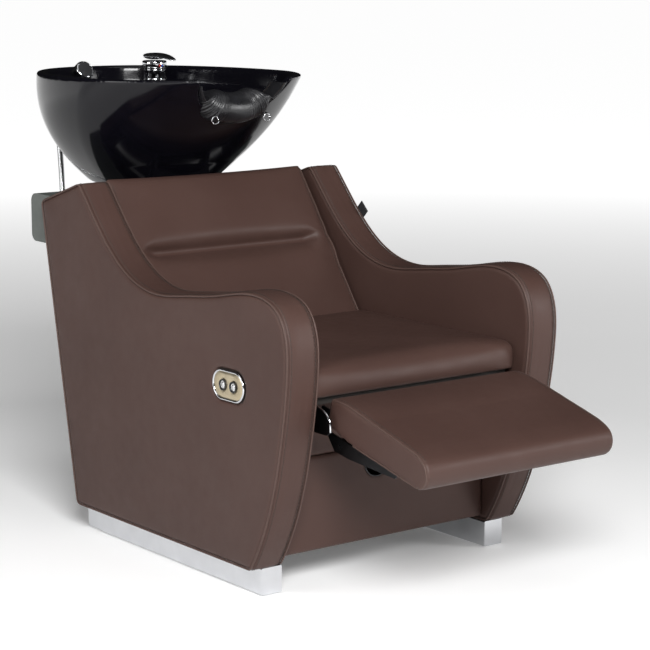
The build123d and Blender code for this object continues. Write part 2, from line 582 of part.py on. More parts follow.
def hose():
    points = [Vector(*point) for point in HOSE_ROUTE]
    runs = [b - a for a, b in zip(points, points[1:])]
    radii = []
    for before, after in zip(runs, runs[1:]):
        half_turn = radians(before.get_angle(after)) / 2
        radii.append(0.45 * min(before.length, after.length) / tan(half_turn))
    path = FilletPolyline(*points, radius=radii)
    profile = Plane(points[0], z_dir=runs[0]) * Circle(HOSE_DIAMETER / 2)
    tube = sweep(profile, path=path)
    section = pi * (HOSE_DIAMETER / 2) ** 2
    print("hose length", round(path.length, 1), "volume ratio", round(tube.volume / (section * path.length), 4))
    print("hose radii", [round(radius) for radius in radii], "lowest", round(tube.bounding_box().min.Z, 1))
    save("spray_hose", tube)


def main():
    os.makedirs("parts", exist_ok=True)
    arms()
    feet()
    hand_control()
    frame()
    panels()
    seat_and_back()
    leg_rest()
    actuator()
    basin()
    drain()
    tilt_hinge()
    neck_rest()
    tap()
    spray()
    hose()
    low = [min(getattr(b.min, axis) for b in ALL_BOXES) for axis in "XYZ"]
    high = [max(getattr(b.max, axis) for b in ALL_BOXES) for axis in "XYZ"]
    print("box", [round(value, 2) for value in low], [round(value, 2) for value in high])


ALL_BOXES = []
main()
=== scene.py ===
"""Shampoo backwash unit: the looks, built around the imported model.

Shapes are worked out in millimetres from the floor under the front end of the foot rails, as in the
CAD script, and moved by ORIGIN_Y into the model's own frame, in metres.
"""
import json
from math import atan2, cos, hypot, pi, radians, sin, tan
import bmesh
import bpy
import numpy as np
from mathutils import Vector, noise
from mathutils.bvhtree import BVHTree
from mathutils.geometry import delaunay_2d_cdt
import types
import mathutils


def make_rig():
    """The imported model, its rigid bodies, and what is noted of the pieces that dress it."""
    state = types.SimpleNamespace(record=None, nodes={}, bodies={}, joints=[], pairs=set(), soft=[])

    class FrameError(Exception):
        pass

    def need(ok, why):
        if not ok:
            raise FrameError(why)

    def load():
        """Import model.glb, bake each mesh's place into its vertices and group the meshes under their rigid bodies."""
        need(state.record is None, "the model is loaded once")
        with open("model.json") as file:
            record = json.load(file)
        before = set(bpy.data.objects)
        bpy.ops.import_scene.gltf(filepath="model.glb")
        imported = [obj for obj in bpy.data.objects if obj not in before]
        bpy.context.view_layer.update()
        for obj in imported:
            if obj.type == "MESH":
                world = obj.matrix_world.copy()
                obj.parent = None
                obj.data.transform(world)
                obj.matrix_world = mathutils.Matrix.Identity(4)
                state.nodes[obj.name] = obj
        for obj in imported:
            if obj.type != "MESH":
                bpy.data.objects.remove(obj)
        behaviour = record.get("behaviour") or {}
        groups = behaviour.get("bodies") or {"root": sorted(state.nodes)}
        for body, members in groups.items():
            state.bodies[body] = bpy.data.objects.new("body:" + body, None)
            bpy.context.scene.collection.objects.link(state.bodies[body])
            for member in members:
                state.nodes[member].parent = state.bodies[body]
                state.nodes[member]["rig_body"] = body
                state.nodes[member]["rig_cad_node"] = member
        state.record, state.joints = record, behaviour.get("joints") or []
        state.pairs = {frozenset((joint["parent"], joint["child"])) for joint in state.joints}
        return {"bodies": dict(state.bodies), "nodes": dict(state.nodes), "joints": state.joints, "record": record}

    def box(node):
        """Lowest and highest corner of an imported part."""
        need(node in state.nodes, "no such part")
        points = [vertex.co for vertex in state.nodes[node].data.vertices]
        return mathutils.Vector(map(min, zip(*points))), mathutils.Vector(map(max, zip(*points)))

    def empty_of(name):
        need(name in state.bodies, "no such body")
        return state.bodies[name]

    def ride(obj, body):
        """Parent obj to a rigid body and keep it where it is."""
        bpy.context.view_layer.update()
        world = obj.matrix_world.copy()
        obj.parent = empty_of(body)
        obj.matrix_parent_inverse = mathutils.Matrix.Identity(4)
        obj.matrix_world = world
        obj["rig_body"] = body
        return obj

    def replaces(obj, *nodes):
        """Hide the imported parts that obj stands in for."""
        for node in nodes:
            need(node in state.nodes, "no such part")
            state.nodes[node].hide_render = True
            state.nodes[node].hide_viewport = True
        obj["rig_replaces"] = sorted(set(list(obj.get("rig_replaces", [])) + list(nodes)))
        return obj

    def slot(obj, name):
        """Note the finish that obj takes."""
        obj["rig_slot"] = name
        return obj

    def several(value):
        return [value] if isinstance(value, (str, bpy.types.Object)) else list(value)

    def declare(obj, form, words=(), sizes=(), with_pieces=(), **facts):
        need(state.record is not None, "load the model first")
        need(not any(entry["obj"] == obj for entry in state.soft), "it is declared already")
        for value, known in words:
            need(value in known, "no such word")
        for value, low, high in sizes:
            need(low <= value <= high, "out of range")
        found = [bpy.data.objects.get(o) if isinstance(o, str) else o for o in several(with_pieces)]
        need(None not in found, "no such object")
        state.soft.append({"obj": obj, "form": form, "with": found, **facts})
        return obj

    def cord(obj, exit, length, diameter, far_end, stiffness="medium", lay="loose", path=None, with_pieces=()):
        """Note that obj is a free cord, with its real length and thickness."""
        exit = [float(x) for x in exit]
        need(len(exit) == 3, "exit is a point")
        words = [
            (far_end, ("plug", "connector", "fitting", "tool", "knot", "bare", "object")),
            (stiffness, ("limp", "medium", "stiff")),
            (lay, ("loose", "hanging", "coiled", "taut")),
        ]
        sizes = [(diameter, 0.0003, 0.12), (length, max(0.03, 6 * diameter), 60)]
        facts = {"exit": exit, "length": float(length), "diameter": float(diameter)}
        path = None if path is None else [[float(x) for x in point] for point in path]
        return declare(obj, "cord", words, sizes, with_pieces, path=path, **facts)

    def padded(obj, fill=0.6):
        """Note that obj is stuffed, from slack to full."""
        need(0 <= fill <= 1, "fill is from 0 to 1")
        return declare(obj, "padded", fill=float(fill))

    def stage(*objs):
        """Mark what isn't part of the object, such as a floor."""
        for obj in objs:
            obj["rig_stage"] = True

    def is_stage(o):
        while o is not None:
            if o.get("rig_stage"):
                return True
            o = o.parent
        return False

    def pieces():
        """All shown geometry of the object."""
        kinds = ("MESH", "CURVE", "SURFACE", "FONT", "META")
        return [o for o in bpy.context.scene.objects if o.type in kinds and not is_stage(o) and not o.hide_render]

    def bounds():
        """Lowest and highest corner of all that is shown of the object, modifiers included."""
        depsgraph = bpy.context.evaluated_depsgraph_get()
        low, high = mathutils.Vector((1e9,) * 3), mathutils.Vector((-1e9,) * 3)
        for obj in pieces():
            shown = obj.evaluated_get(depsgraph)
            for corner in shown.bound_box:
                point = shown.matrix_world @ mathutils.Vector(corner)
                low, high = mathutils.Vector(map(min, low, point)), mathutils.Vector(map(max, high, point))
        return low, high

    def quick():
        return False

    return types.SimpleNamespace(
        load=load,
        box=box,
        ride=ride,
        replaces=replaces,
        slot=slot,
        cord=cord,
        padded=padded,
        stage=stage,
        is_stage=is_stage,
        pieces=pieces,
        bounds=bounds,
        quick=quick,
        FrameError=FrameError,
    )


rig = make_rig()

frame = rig.load()
NODES = frame["nodes"]
CAD_BOX = [list(corner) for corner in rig.bounds()]
MM = 0.001
ORIGIN_Y = -368.6
SIDES = ((-1, "left"), (1, "right"))


def metres(points):
    """Points in millimetres from the drawing datum, as metres in the model's frame."""
    return (np.asarray(points, float) + (0.0, ORIGIN_Y, 0.0)) * MM


def datum_box(node):
    """A CAD node's lowest and highest corners, in millimetres from the drawing datum."""
    low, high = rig.box(node)
    shift = np.array((0.0, ORIGIN_Y, 0.0))
    return np.array(low) / MM - shift, np.array(high) / MM - shift


def datum_points(mesh):
    """A mesh's vertices, in millimetres from the drawing datum."""
    return np.array([tuple(vertex.co) for vertex in mesh.vertices]) / MM - (0.0, ORIGIN_Y, 0.0)


# ---------------------------------------------------------------- materials

class Paint:
    """A procedural material: one Principled shader and helpers that feed it."""

    def __init__(self, name, **values):
        self.material = bpy.data.materials.new(name)
        self.material.use_nodes = True
        self.tree = self.material.node_tree
        self.shader = self.tree.nodes["Principled BSDF"]
        self.place = self.add("ShaderNodeTexCoord").outputs["Object"]
        for socket, value in values.items():
            self.shader.inputs[socket.replace("_", " ")].default_value = value

    def add(self, kind, **settings):
        node = self.tree.nodes.new(kind)
        for key, value in settings.items():
            if key in node.inputs:
                node.inputs[key].default_value = value
            else:
                setattr(node, key, value)
        return node

    def link(self, source, target):
        self.tree.links.new(source, target)

    def noise(self, scale, detail=4.0, stretch=(1, 1, 1)):
        mapping = self.add("ShaderNodeMapping")
        mapping.inputs["Scale"].default_value = stretch
        self.link(self.place, mapping.inputs["Vector"])
        texture = self.add("ShaderNodeTexNoise", Scale=scale, Detail=detail)
        self.link(mapping.outputs["Vector"], texture.inputs["Vector"])
        return texture.outputs["Fac"]

    def cells(self, scale, feature="DISTANCE_TO_EDGE"):
        texture = self.add("ShaderNodeTexVoronoi", feature=feature, Scale=scale)
        self.link(self.place, texture.inputs["Vector"])
        return texture.outputs["Distance"]

    def ramp(self, factor, *stops):
        """stops are (position, colour); a plain number is a grey."""
        ramp = self.add("ShaderNodeValToRGB")
        elements = ramp.color_ramp.elements
        while len(elements) < len(stops):
            elements.new(0.5)
        for element, (position, colour) in zip(elements, stops):
            element.position = position
            element.color = (colour,) * 3 + (1,) if isinstance(colour, float) else (*colour, 1)
        self.link(factor, ramp.inputs["Fac"])
        return ramp.outputs["Color"]

    def mottle(self, scale, detail, low, high):
        """Two close colours, in soft patches."""
        return self.ramp(self.noise(scale, detail), (0.3, low), (0.7, high))

    def mix(self, factor, first, second, blend="MIX"):
        node = self.add("ShaderNodeMix", data_type="RGBA", blend_type=blend)
        sockets = [socket for socket in node.inputs if socket.type == "RGBA"]
        for source, target in ((factor, node.inputs[0]), (first, sockets[0]), (second, sockets[1])):
            if isinstance(source, bpy.types.NodeSocket):
                self.link(source, target)
            else:
                target.default_value = source if target.type == "VALUE" else (*source, 1)
        return [socket for socket in node.outputs if socket.type == "RGBA"][0]

    def convex_edge_mask(self, low=0.505, high=0.56):
        pointiness = self.add("ShaderNodeNewGeometry").outputs["Pointiness"]
        return self.ramp(pointiness, (low, 0.0), (high, 1.0))

    def bump(self, height, strength, distance):
        node = self.add("ShaderNodeBump", Strength=strength, Distance=distance)
        self.link(height, node.inputs["Height"])
        previous = self.shader.inputs["Normal"]
        if previous.is_linked:
            self.link(previous.links[0].from_socket, node.inputs["Normal"])
        self.link(node.outputs["Normal"], previous)

    def colour(self, source):
        self.link(source, self.shader.inputs["Base Color"])

    def roughness(self, factor, low, high):
        self.link(self.ramp(factor, (0.3, low), (0.7, high)), self.shader.inputs["Roughness"])


def leather():
    paint = Paint("brown_leather", Specular_IOR_Level=0.20)
    dark, base, light = (0.0560, 0.0300, 0.0245), (0.0610, 0.0330, 0.0270), (0.0665, 0.0370, 0.0305)
    broad = paint.ramp(paint.noise(5.0, 3.0), (0.30, dark), (0.52, base), (0.75, light))
    # Lighter on convex edges and welts: a painted highlight along them, with some edge wear.
    lighter_at_edges = paint.mix(paint.convex_edge_mask(0.51, 0.60), broad, (0.100, 0.066, 0.056))
    pores = paint.ramp(paint.cells(760.0), (0.0, 0.62), (0.16, 1.0))
    paint.colour(paint.mix(0.5, lighter_at_edges, pores, "MULTIPLY"))
    paint.roughness(paint.noise(38.0, 6.0), 0.40, 0.50)
    paint.bump(paint.noise(24.0, 3.0), 0.06, 0.003)
    paint.bump(paint.cells(760.0), 0.30, 0.0006)
    paint.bump(paint.noise(1900.0, 2.0), 0.12, 0.0003)
    return paint.material


def thread():
    paint = Paint("stitch_thread", Roughness=0.62)
    paint.colour(paint.mottle(900.0, 2.0, (0.020, 0.012, 0.009), (0.040, 0.026, 0.020)))
    paint.bump(paint.noise(2600.0, 1.0, (1, 1, 3)), 0.5, 0.0004)
    return paint.material


def glaze():
    paint = Paint("black_glaze", Specular_IOR_Level=0.30)
    paint.colour(paint.mottle(14.0, 3.0, (0.0022, 0.0020, 0.0036), (0.0034, 0.0032, 0.0052)))
    paint.roughness(paint.noise(30.0, 4.0), 0.10, 0.15)
    paint.bump(paint.noise(55.0, 2.0), 0.05, 0.0010)
    return paint.material


def metal(name, low, high, rough, brushed=0.0, stretch=(1, 1, 1)):
    paint = Paint(name, Metallic=1.0)
    paint.colour(paint.mottle(18.0, 4.0, low, high))
    paint.roughness(paint.noise(60.0, 5.0), *rough)
    paint.bump(paint.noise(160.0, 3.0), 0.02, 0.0006)
    if brushed:
        paint.bump(paint.noise(900.0, 3.0, stretch), brushed, 0.0004)
    return paint.material


def plastic(name, low, high, rough, grain=0.18):
    paint = Paint(name, Specular_IOR_Level=0.45)
    lighter_at_edges = paint.mix(paint.convex_edge_mask(0.51, 0.6), paint.mottle(20.0, 4.0, low, high),
                     tuple(min(1.0, value * 1.7) for value in high))
    paint.colour(lighter_at_edges)
    paint.roughness(paint.noise(70.0, 4.0), *rough)
    paint.bump(paint.cells(1100.0, "F1"), grain, 0.0004)
    return paint.material


def gel_skin():
    paint = Paint("neck_gel_skin", Specular_IOR_Level=0.5)
    paint.colour(paint.mottle(26.0, 4.0, (0.006, 0.006, 0.007), (0.014, 0.014, 0.016)))
    paint.roughness(paint.noise(45.0, 4.0), 0.26, 0.40)
    paint.bump(paint.noise(120.0, 4.0), 0.15, 0.0012)
    return paint.material


def plywood():
    paint = Paint("stained_plywood", Roughness=0.7)
    plies = paint.noise(160.0, 2.0, (0.15, 0.15, 1.0))
    fibres = paint.noise(420.0, 3.0, (0.08, 1.0, 1.0))
    layers = paint.ramp(plies, (0.35, (0.012, 0.009, 0.007)), (0.65, (0.022, 0.016, 0.013)))
    grain = paint.ramp(fibres, (0.3, (0.010, 0.007, 0.006)), (0.7, (0.020, 0.015, 0.012)))
    paint.colour(paint.mix(0.5, layers, grain))
    paint.bump(fibres, 0.3, 0.0006)
    return paint.material


def woven_tab():
    paint = Paint("woven_tab", Roughness=0.8)
    paint.colour(paint.mottle(500.0, 2.0, (0.006, 0.006, 0.007), (0.018, 0.018, 0.020)))
    weave = paint.add("ShaderNodeTexChecker", Scale=1400.0)
    paint.link(paint.place, weave.inputs["Vector"])
    paint.bump(weave.outputs["Fac"], 0.5, 0.0004)
    return paint.material


def enamel(name, colour):
    paint = Paint(name, Roughness=0.22)
    paint.colour(paint.mottle(300.0, 2.0, tuple(0.85 * value for value in colour), colour))
    paint.bump(paint.noise(800.0, 2.0), 0.05, 0.0002)
    return paint.material


MATERIALS = {
    "upholstery": leather(),
    "plywood": plywood(),
    "chrome": metal("polished_chrome", (0.60, 0.61, 0.63), (0.68, 0.69, 0.71), (0.035, 0.075)),
    "hose_metal": metal("hose_chrome", (0.66, 0.67, 0.68), (0.80, 0.81, 0.82), (0.12, 0.22)),
    "strainer_steel": metal("strainer_steel", (0.55, 0.55, 0.56), (0.68, 0.68, 0.69), (0.22, 0.34), 0.3,
                            (1, 0.05, 1)),
    "frame_steel": plastic("powder_coat", (0.012, 0.012, 0.013), (0.022, 0.022, 0.024), (0.38, 0.55), 0.35),
    "plated_steel": metal("plated_steel", (0.020, 0.020, 0.021), (0.032, 0.032, 0.034), (0.30, 0.42), 0.25,
                          (0.05, 1, 1)),
    "grey_plastic": plastic("grey_plastic", (0.040, 0.044, 0.041), (0.052, 0.057, 0.053), (0.42, 0.56)),
    "black_plastic": plastic("black_plastic", (0.010, 0.010, 0.011), (0.020, 0.020, 0.022), (0.40, 0.55)),
    "black_rubber": plastic("black_rubber", (0.008, 0.008, 0.008), (0.016, 0.016, 0.016), (0.70, 0.85), 0.3),
    "neck_gel": gel_skin(),
    "black_glaze": glaze(),
    "champagne_metal": metal("champagne_satin", (0.50, 0.42, 0.28), (0.60, 0.52, 0.37), (0.30, 0.42), 0.20,
                             (1, 0.04, 1)),
    "button_metal": metal("button_satin", (0.74, 0.75, 0.76), (0.86, 0.87, 0.88), (0.16, 0.26)),
    "tag_fabric": woven_tab(),
}
THREAD = thread()
WHITE_ENAMEL = enamel("white_enamel", (0.80, 0.80, 0.78))
DARK_ENAMEL = enamel("dark_enamel", (0.020, 0.020, 0.022))
RED_ENAMEL = enamel("red_enamel", (0.62, 0.03, 0.025))
BLUE_ENAMEL = enamel("blue_enamel", (0.03, 0.10, 0.55))

for part in frame["record"]["subparts"]:
    node = NODES[part["node"]]
    node.data.materials.clear()
    node.data.materials.append(MATERIALS[part["material_slot"]])


# ---------------------------------------------------------------- mesh helpers

def add_piece(name, body, slot, vertices, faces, materials=None, face_materials=None):
    """A new mesh piece from points in millimetres, riding on a body, with its finish from a slot."""
    mesh = bpy.data.meshes.new(name)
    mesh.from_pydata([tuple(point) for point in metres(vertices)], [], [tuple(face) for face in faces])
    for material in materials or [MATERIALS[slot]]:
        mesh.materials.append(material)
    if face_materials is not None:
        mesh.polygons.foreach_set("material_index", face_materials)
    mesh.validate()
    work = bmesh.new()
    work.from_mesh(mesh)
    bmesh.ops.recalc_face_normals(work, faces=work.faces)
    work.to_mesh(mesh)
    work.free()
    shade_smooth(mesh)
    piece = bpy.data.objects.new(name, mesh)
    bpy.context.scene.collection.objects.link(piece)
    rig.ride(piece, body)
    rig.slot(piece, slot)
    return piece


def shade_smooth(mesh):
    mesh.polygons.foreach_set("use_smooth", [True] * len(mesh.polygons))


def relax(piece, rounds):
    """A smoothing pass, to be applied with the piece's other modifiers."""
    smooth = piece.modifiers.new("smooth", "SMOOTH")
    smooth.factor, smooth.iterations = 0.5, rounds


def voxel_skin(piece, voxel):
    """One even skin over all that a piece encloses; voxel is in millimetres."""
    remesh = piece.modifiers.new("remesh", "REMESH")
    remesh.mode, remesh.voxel_size = "VOXEL", voxel * MM


def sharpen(piece, angle=32.0):
    """Leaves the edges sharper than the angle sharp."""
    limit = radians(angle)
    work = bmesh.new()
    work.from_mesh(piece.data)
    for edge in work.edges:
        edge.smooth = not (edge.is_manifold and edge.calc_face_angle(0.0) > limit)
    work.to_mesh(piece.data)
    work.free()


def subdivide(piece, levels=1):
    modifier = piece.modifiers.new("subdivision", "SUBSURF")
    modifier.levels = modifier.render_levels = levels


def apply_modifiers(piece):
    graph = bpy.context.evaluated_depsgraph_get()
    mesh = bpy.data.meshes.new_from_object(piece.evaluated_get(graph), depsgraph=graph)
    piece.modifiers.clear()
    piece.data = mesh


def grid_faces(rows, columns, close_rows=False, close_columns=True, first=0):
    faces = []
    for row in range(rows if close_rows else rows - 1):
        for column in range(columns if close_columns else columns - 1):
            a, b = row * columns + column, row * columns + (column + 1) % columns
            c, d = (row + 1) % rows * columns + (column + 1) % columns, (row + 1) % rows * columns + column
            faces.append((first + a, first + b, first + c, first + d))
    return faces


def capped_faces(rows, columns):
    """The faces of a tube-like skin through rows of points, with both ends filled."""
    ends = [tuple(range(columns)), tuple(range((rows - 1) * columns, rows * columns))]
    return grid_faces(rows, columns) + ends


def axis_frame(axis):
    """Two directions square to the axis and to each other."""
    axis = Vector(axis).normalized()
    side = axis.cross((0, 0, 1)) if abs(axis.z) < 0.9 else axis.cross((0, 1, 0))
    side.normalize()
    return np.array(side), np.array(axis.cross(side)), np.array(axis)


def lathe(origin, axis, profile, count=64, flutes=0, flute_depth=0.0, flute_span=(0, 0)):
    """A closed turned solid from (radius, height) points; flutes are shallow grooves down its side."""
    side, other, axis = axis_frame(axis)
    vertices, origin = [], np.array(origin, float)
    for radius, height in profile:
        for k in range(count):
            turn = 2 * pi * k / count
            r = radius
            if flutes and flute_span[0] <= height <= flute_span[1]:
                r -= flute_depth * (0.5 + 0.5 * cos(flutes * turn)) ** 3
            vertices.append(origin + axis * height + r * (cos(turn) * side + sin(turn) * other))
    return vertices, capped_faces(len(profile), count)


def rounded_profile(corners, radius, steps=4):
    """A (radius, height) outline with each inner corner rounded off."""
    points = [corners[0]]
    for before, corner, after in zip(corners, corners[1:], corners[2:]):
        before, corner, after = (np.array(p, float) for p in (before, corner, after))
        reach_in, reach_out = np.linalg.norm(before - corner), np.linalg.norm(after - corner)
        reach = min(radius, 0.45 * reach_in, 0.45 * reach_out)
        start = corner + (before - corner) / reach_in * reach
        end = corner + (after - corner) / reach_out * reach
        for k in range(steps + 1):
            t = k / steps
            points.append(tuple((1 - t) ** 2 * start + 2 * t * (1 - t) * corner + t ** 2 * end))
    return points + [corners[-1]]


def path_frames(points, closed):
    """The direction and a steady side vector at each point of a path."""
    points = np.asarray(points, float)
    ahead, behind = np.roll(points, -1, 0), np.roll(points, 1, 0)
    if not closed:
        ahead[-1], behind[0] = points[-1], points[0]
    along = ahead - behind
    along /= np.linalg.norm(along, axis=1)[:, None]
    sides = [axis_frame(along[0])[0]]
    for direction in along[1:]:
        side = sides[-1] - direction * np.dot(sides[-1], direction)
        sides.append(side / np.linalg.norm(side))
    return along, np.array(sides)


def tube(points, radius, closed=False, sides=10):
    """A round tube along a path; radius is a number or one for each point."""
    points = np.asarray(points, float)
    along, side = path_frames(points, closed)
    other = np.cross(along, side)
    radius = np.broadcast_to(radius, len(points))
    vertices = []
    for point, a, b, r in zip(points, side, other, radius):
        for k in range(sides):
            turn = 2 * pi * k / sides
            vertices.append(point + r * (cos(turn) * a + sin(turn) * b))
    rows = len(points)
    return vertices, grid_faces(rows, sides, close_rows=True) if closed else capped_faces(rows, sides)


def resample(points, spacing, closed=True):
    """The same path with evenly spaced points."""
    points = np.asarray(points, float)
    if closed:
        points = np.vstack([points, points[:1]])
    steps = np.linalg.norm(np.diff(points, axis=0), axis=1)
    travelled = np.concatenate([[0], np.cumsum(steps)])
    count = max(8, int(round(travelled[-1] / spacing)))
    places = np.linspace(0, travelled[-1], count + 1)[:-1] if closed else np.linspace(0, travelled[-1], count)
    return np.stack([np.interp(places, travelled, points[:, axis]) for axis in range(points.shape[1])], 1)


def join(parts):
    """Several (vertices, faces) as one."""
    vertices, faces = [], []
    for part_vertices, part_faces in parts:
        faces += [tuple(index + len(vertices) for index in face) for face in part_faces]
        vertices += list(part_vertices)
    return vertices, faces


def stitches(points, closed=False, pitch=7.5, length=5.2, radius=0.75):
    """Short thread stitches lying along a path."""
    points = resample(points, pitch, closed)
    along, _ = path_frames(points, closed)
    ring = ((-0.5, 0.25), (-0.36, 1.0), (0.36, 1.0), (0.5, 0.25))
    parts = []
    for point, direction in zip(points, along):
        parts.append(lathe(point, direction, [(radius * r, length * h) for h, r in ring], count=6))
    return join(parts)


# ---------------------------------------------------------------- upholstered panels

def outline_of(node, side):
    """The outlines of a CAD node's flat face at its lowest (-1) or highest (1) X, as (Y, Z) loops."""
    mesh = NODES[node].data
    low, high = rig.box(node)
    plane = low.x if side < 0 else high.x
    points = {}
    edges = {}
    for polygon in mesh.polygons:
        corners = [mesh.vertices[index].co for index in polygon.vertices]
        if any(abs(corner.x - plane) > 2e-5 for corner in corners):
            continue
        keys = [(round(corner.y, 5), round(corner.z, 5)) for corner in corners]
        points.update((key, key) for key in keys)
        for a, b in zip(keys, keys[1:] + keys[:1]):
            edges[frozenset((a, b))] = edges.get(frozenset((a, b)), 0) + 1
    neighbours = {}
    for edge, uses in edges.items():
        if uses == 1 and len(edge) == 2:
            a, b = edge
            neighbours.setdefault(a, []).append(b)
            neighbours.setdefault(b, []).append(a)
    loops = []
    while neighbours:
        start = min(neighbours)
        loop, previous, current = [start], None, start
        while True:
            following = [key for key in neighbours[current] if key != previous]
            previous, current = current, following[0]
            if current == start or current in loop:
                break
            loop.append(current)
        for key in loop:
            neighbours.pop(key)
        loops.append((np.array(loop) / MM) - (ORIGIN_Y, 0.0))
    loops.sort(key=lambda loop: -np.ptp(loop[:, 0]))
    return [loop if signed_area(loop) > 0 else loop[::-1] for loop in loops]


def signed_area(loop):
    x, y = loop[:, 0], loop[:, 1]
    return 0.5 * np.sum(x * np.roll(y, -1) - np.roll(x, -1) * y)


def outward(loop):
    """The outward directions of an anticlockwise loop."""
    along = np.roll(loop, -1, 0) - np.roll(loop, 1, 0)
    along /= np.linalg.norm(along, axis=1)[:, None]
    return np.stack([along[:, 1], -along[:, 0]], 1)


def inset(loop, distance):
    return loop - outward(loop) * distance


def distance_to(points, loops):
    """The distance from each 2-D point to the nearest loop edge."""
    best = np.full(len(points), 1e9)
    for loop in loops:
        for a, b in zip(loop, np.roll(loop, -1, 0)):
            edge = b - a
            t = np.clip(((points - a) @ edge) / (edge @ edge), 0, 1)
            best = np.minimum(best, np.linalg.norm(points - a - t[:, None] * edge, axis=1))
    return best


def within(points, loop):
    """Which 2-D points are inside a loop."""
    inside = np.zeros(len(points), bool)
    for a, b in zip(loop, np.roll(loop, -1, 0)):
        crosses = (a[1] > points[:, 1]) != (b[1] > points[:, 1])
        with np.errstate(divide="ignore", invalid="ignore"):
            at = a[0] + (points[:, 1] - a[1]) / (b[1] - a[1]) * (b[0] - a[0])
        inside ^= crosses & (points[:, 0] < at)
    return inside


def panel(loops, height, to_space, thickness, spacing=11.0):
    """A closed upholstered slab: an outline and its holes, with height(distance to edge, points) for a face."""
    rings = [0.0, 1.2, 2.6, 4.5, 7.5, 12.0]
    outer, holes = loops[0], loops[1:]
    points, edges = [], []
    for loop, direction in [(outer, 1)] + [(hole, -1) for hole in holes]:
        for ring in rings:
            shifted = inset(loop, ring * direction)
            if ring == 0.0:
                first = len(points)
                edges += [(first + k, first + (k + 1) % len(loop)) for k in range(len(loop))]
            points += list(shifted)
    low, high = outer.min(0), outer.max(0)
    grid = np.array([(low[0] + spacing * (i + 0.5 * (j % 2)), low[1] + spacing * 0.87 * j)
                     for i in range(int((high[0] - low[0]) / spacing) + 1)
                     for j in range(int((high[1] - low[1]) / spacing / 0.87) + 1)])
    keep = within(grid, outer) & (distance_to(grid, loops) > rings[-1] + 0.55 * spacing)
    for hole in holes:
        keep &= ~within(grid, hole)
    points += list(grid[keep])
    found = delaunay_2d_cdt([Vector(point) for point in points], edges, [], 0, 0.001)
    flat = np.array([tuple(point) for point in found[0]])
    centres = np.array([flat[list(face)].mean(0) for face in found[2]])
    good = within(centres, outer)
    for hole in holes:
        good &= ~within(centres, hole)
    faces = [face for face, ok in zip(found[2], good) if ok]
    rise = height(distance_to(flat, loops), flat)
    top = [to_space(point, h) for point, h in zip(flat, rise)]
    under = [to_space(point, -thickness) for point in flat]
    count = len(flat)
    uses = {}
    for face in faces:
        for a, b in zip(face, face[1:] + face[:1]):
            uses[(a, b)] = 1
    walls = [(a, b, b + count, a + count) for a, b in uses if (b, a) not in uses]
    return top + under, faces + [tuple(i + count for i in face[::-1]) for face in faces] + walls


def ripple(points, size, amount, seed):
    """Soft uneven waves, the same on every run."""
    return np.array([amount * noise.noise(Vector((*(np.asarray(point) / size), seed)))
                     for point in np.asarray(points)[:, :2]])


def soft_face(roll, crown, reach, waves=0.5, seed=1.0):
    """The face of an upholstered slab: rolled down at its seam, slightly crowned, and not quite flat."""
    def height(distance, points):
        edge = -roll * np.exp(-(distance / 3.0) ** 1.3)
        swell = crown * (1 - np.exp(-distance / reach))
        return edge + swell + ripple(points, 90.0, waves, seed) * np.clip(distance / 40.0, 0, 1)
    return height


# ---------------------------------------------------------------- camera, light and floor

def camera():
    data = bpy.data.cameras.new("camera")
    data.lens, data.sensor_width, data.clip_end = 118.06, 36.0, 300.0
    view = bpy.data.objects.new("camera", data)
    view.location = (-2.6559, -3.6356, 1.2398)
    view.rotation_euler = (radians(90 - 9.88), 0, radians(52.61 - 90))
    bpy.context.scene.collection.objects.link(view)
    bpy.context.scene.camera = view


def soft_light(name, place, target, width, height, power, colour=(1, 1, 1)):
    data = bpy.data.lights.new(name, "AREA")
    data.shape, data.size, data.size_y, data.energy, data.color = "RECTANGLE", width, height, power, colour
    light = bpy.data.objects.new(name, data)
    light.location = place
    light.rotation_euler = (Vector(target) - Vector(place)).to_track_quat("-Z", "Y").to_euler()
    bpy.context.scene.collection.objects.link(light)


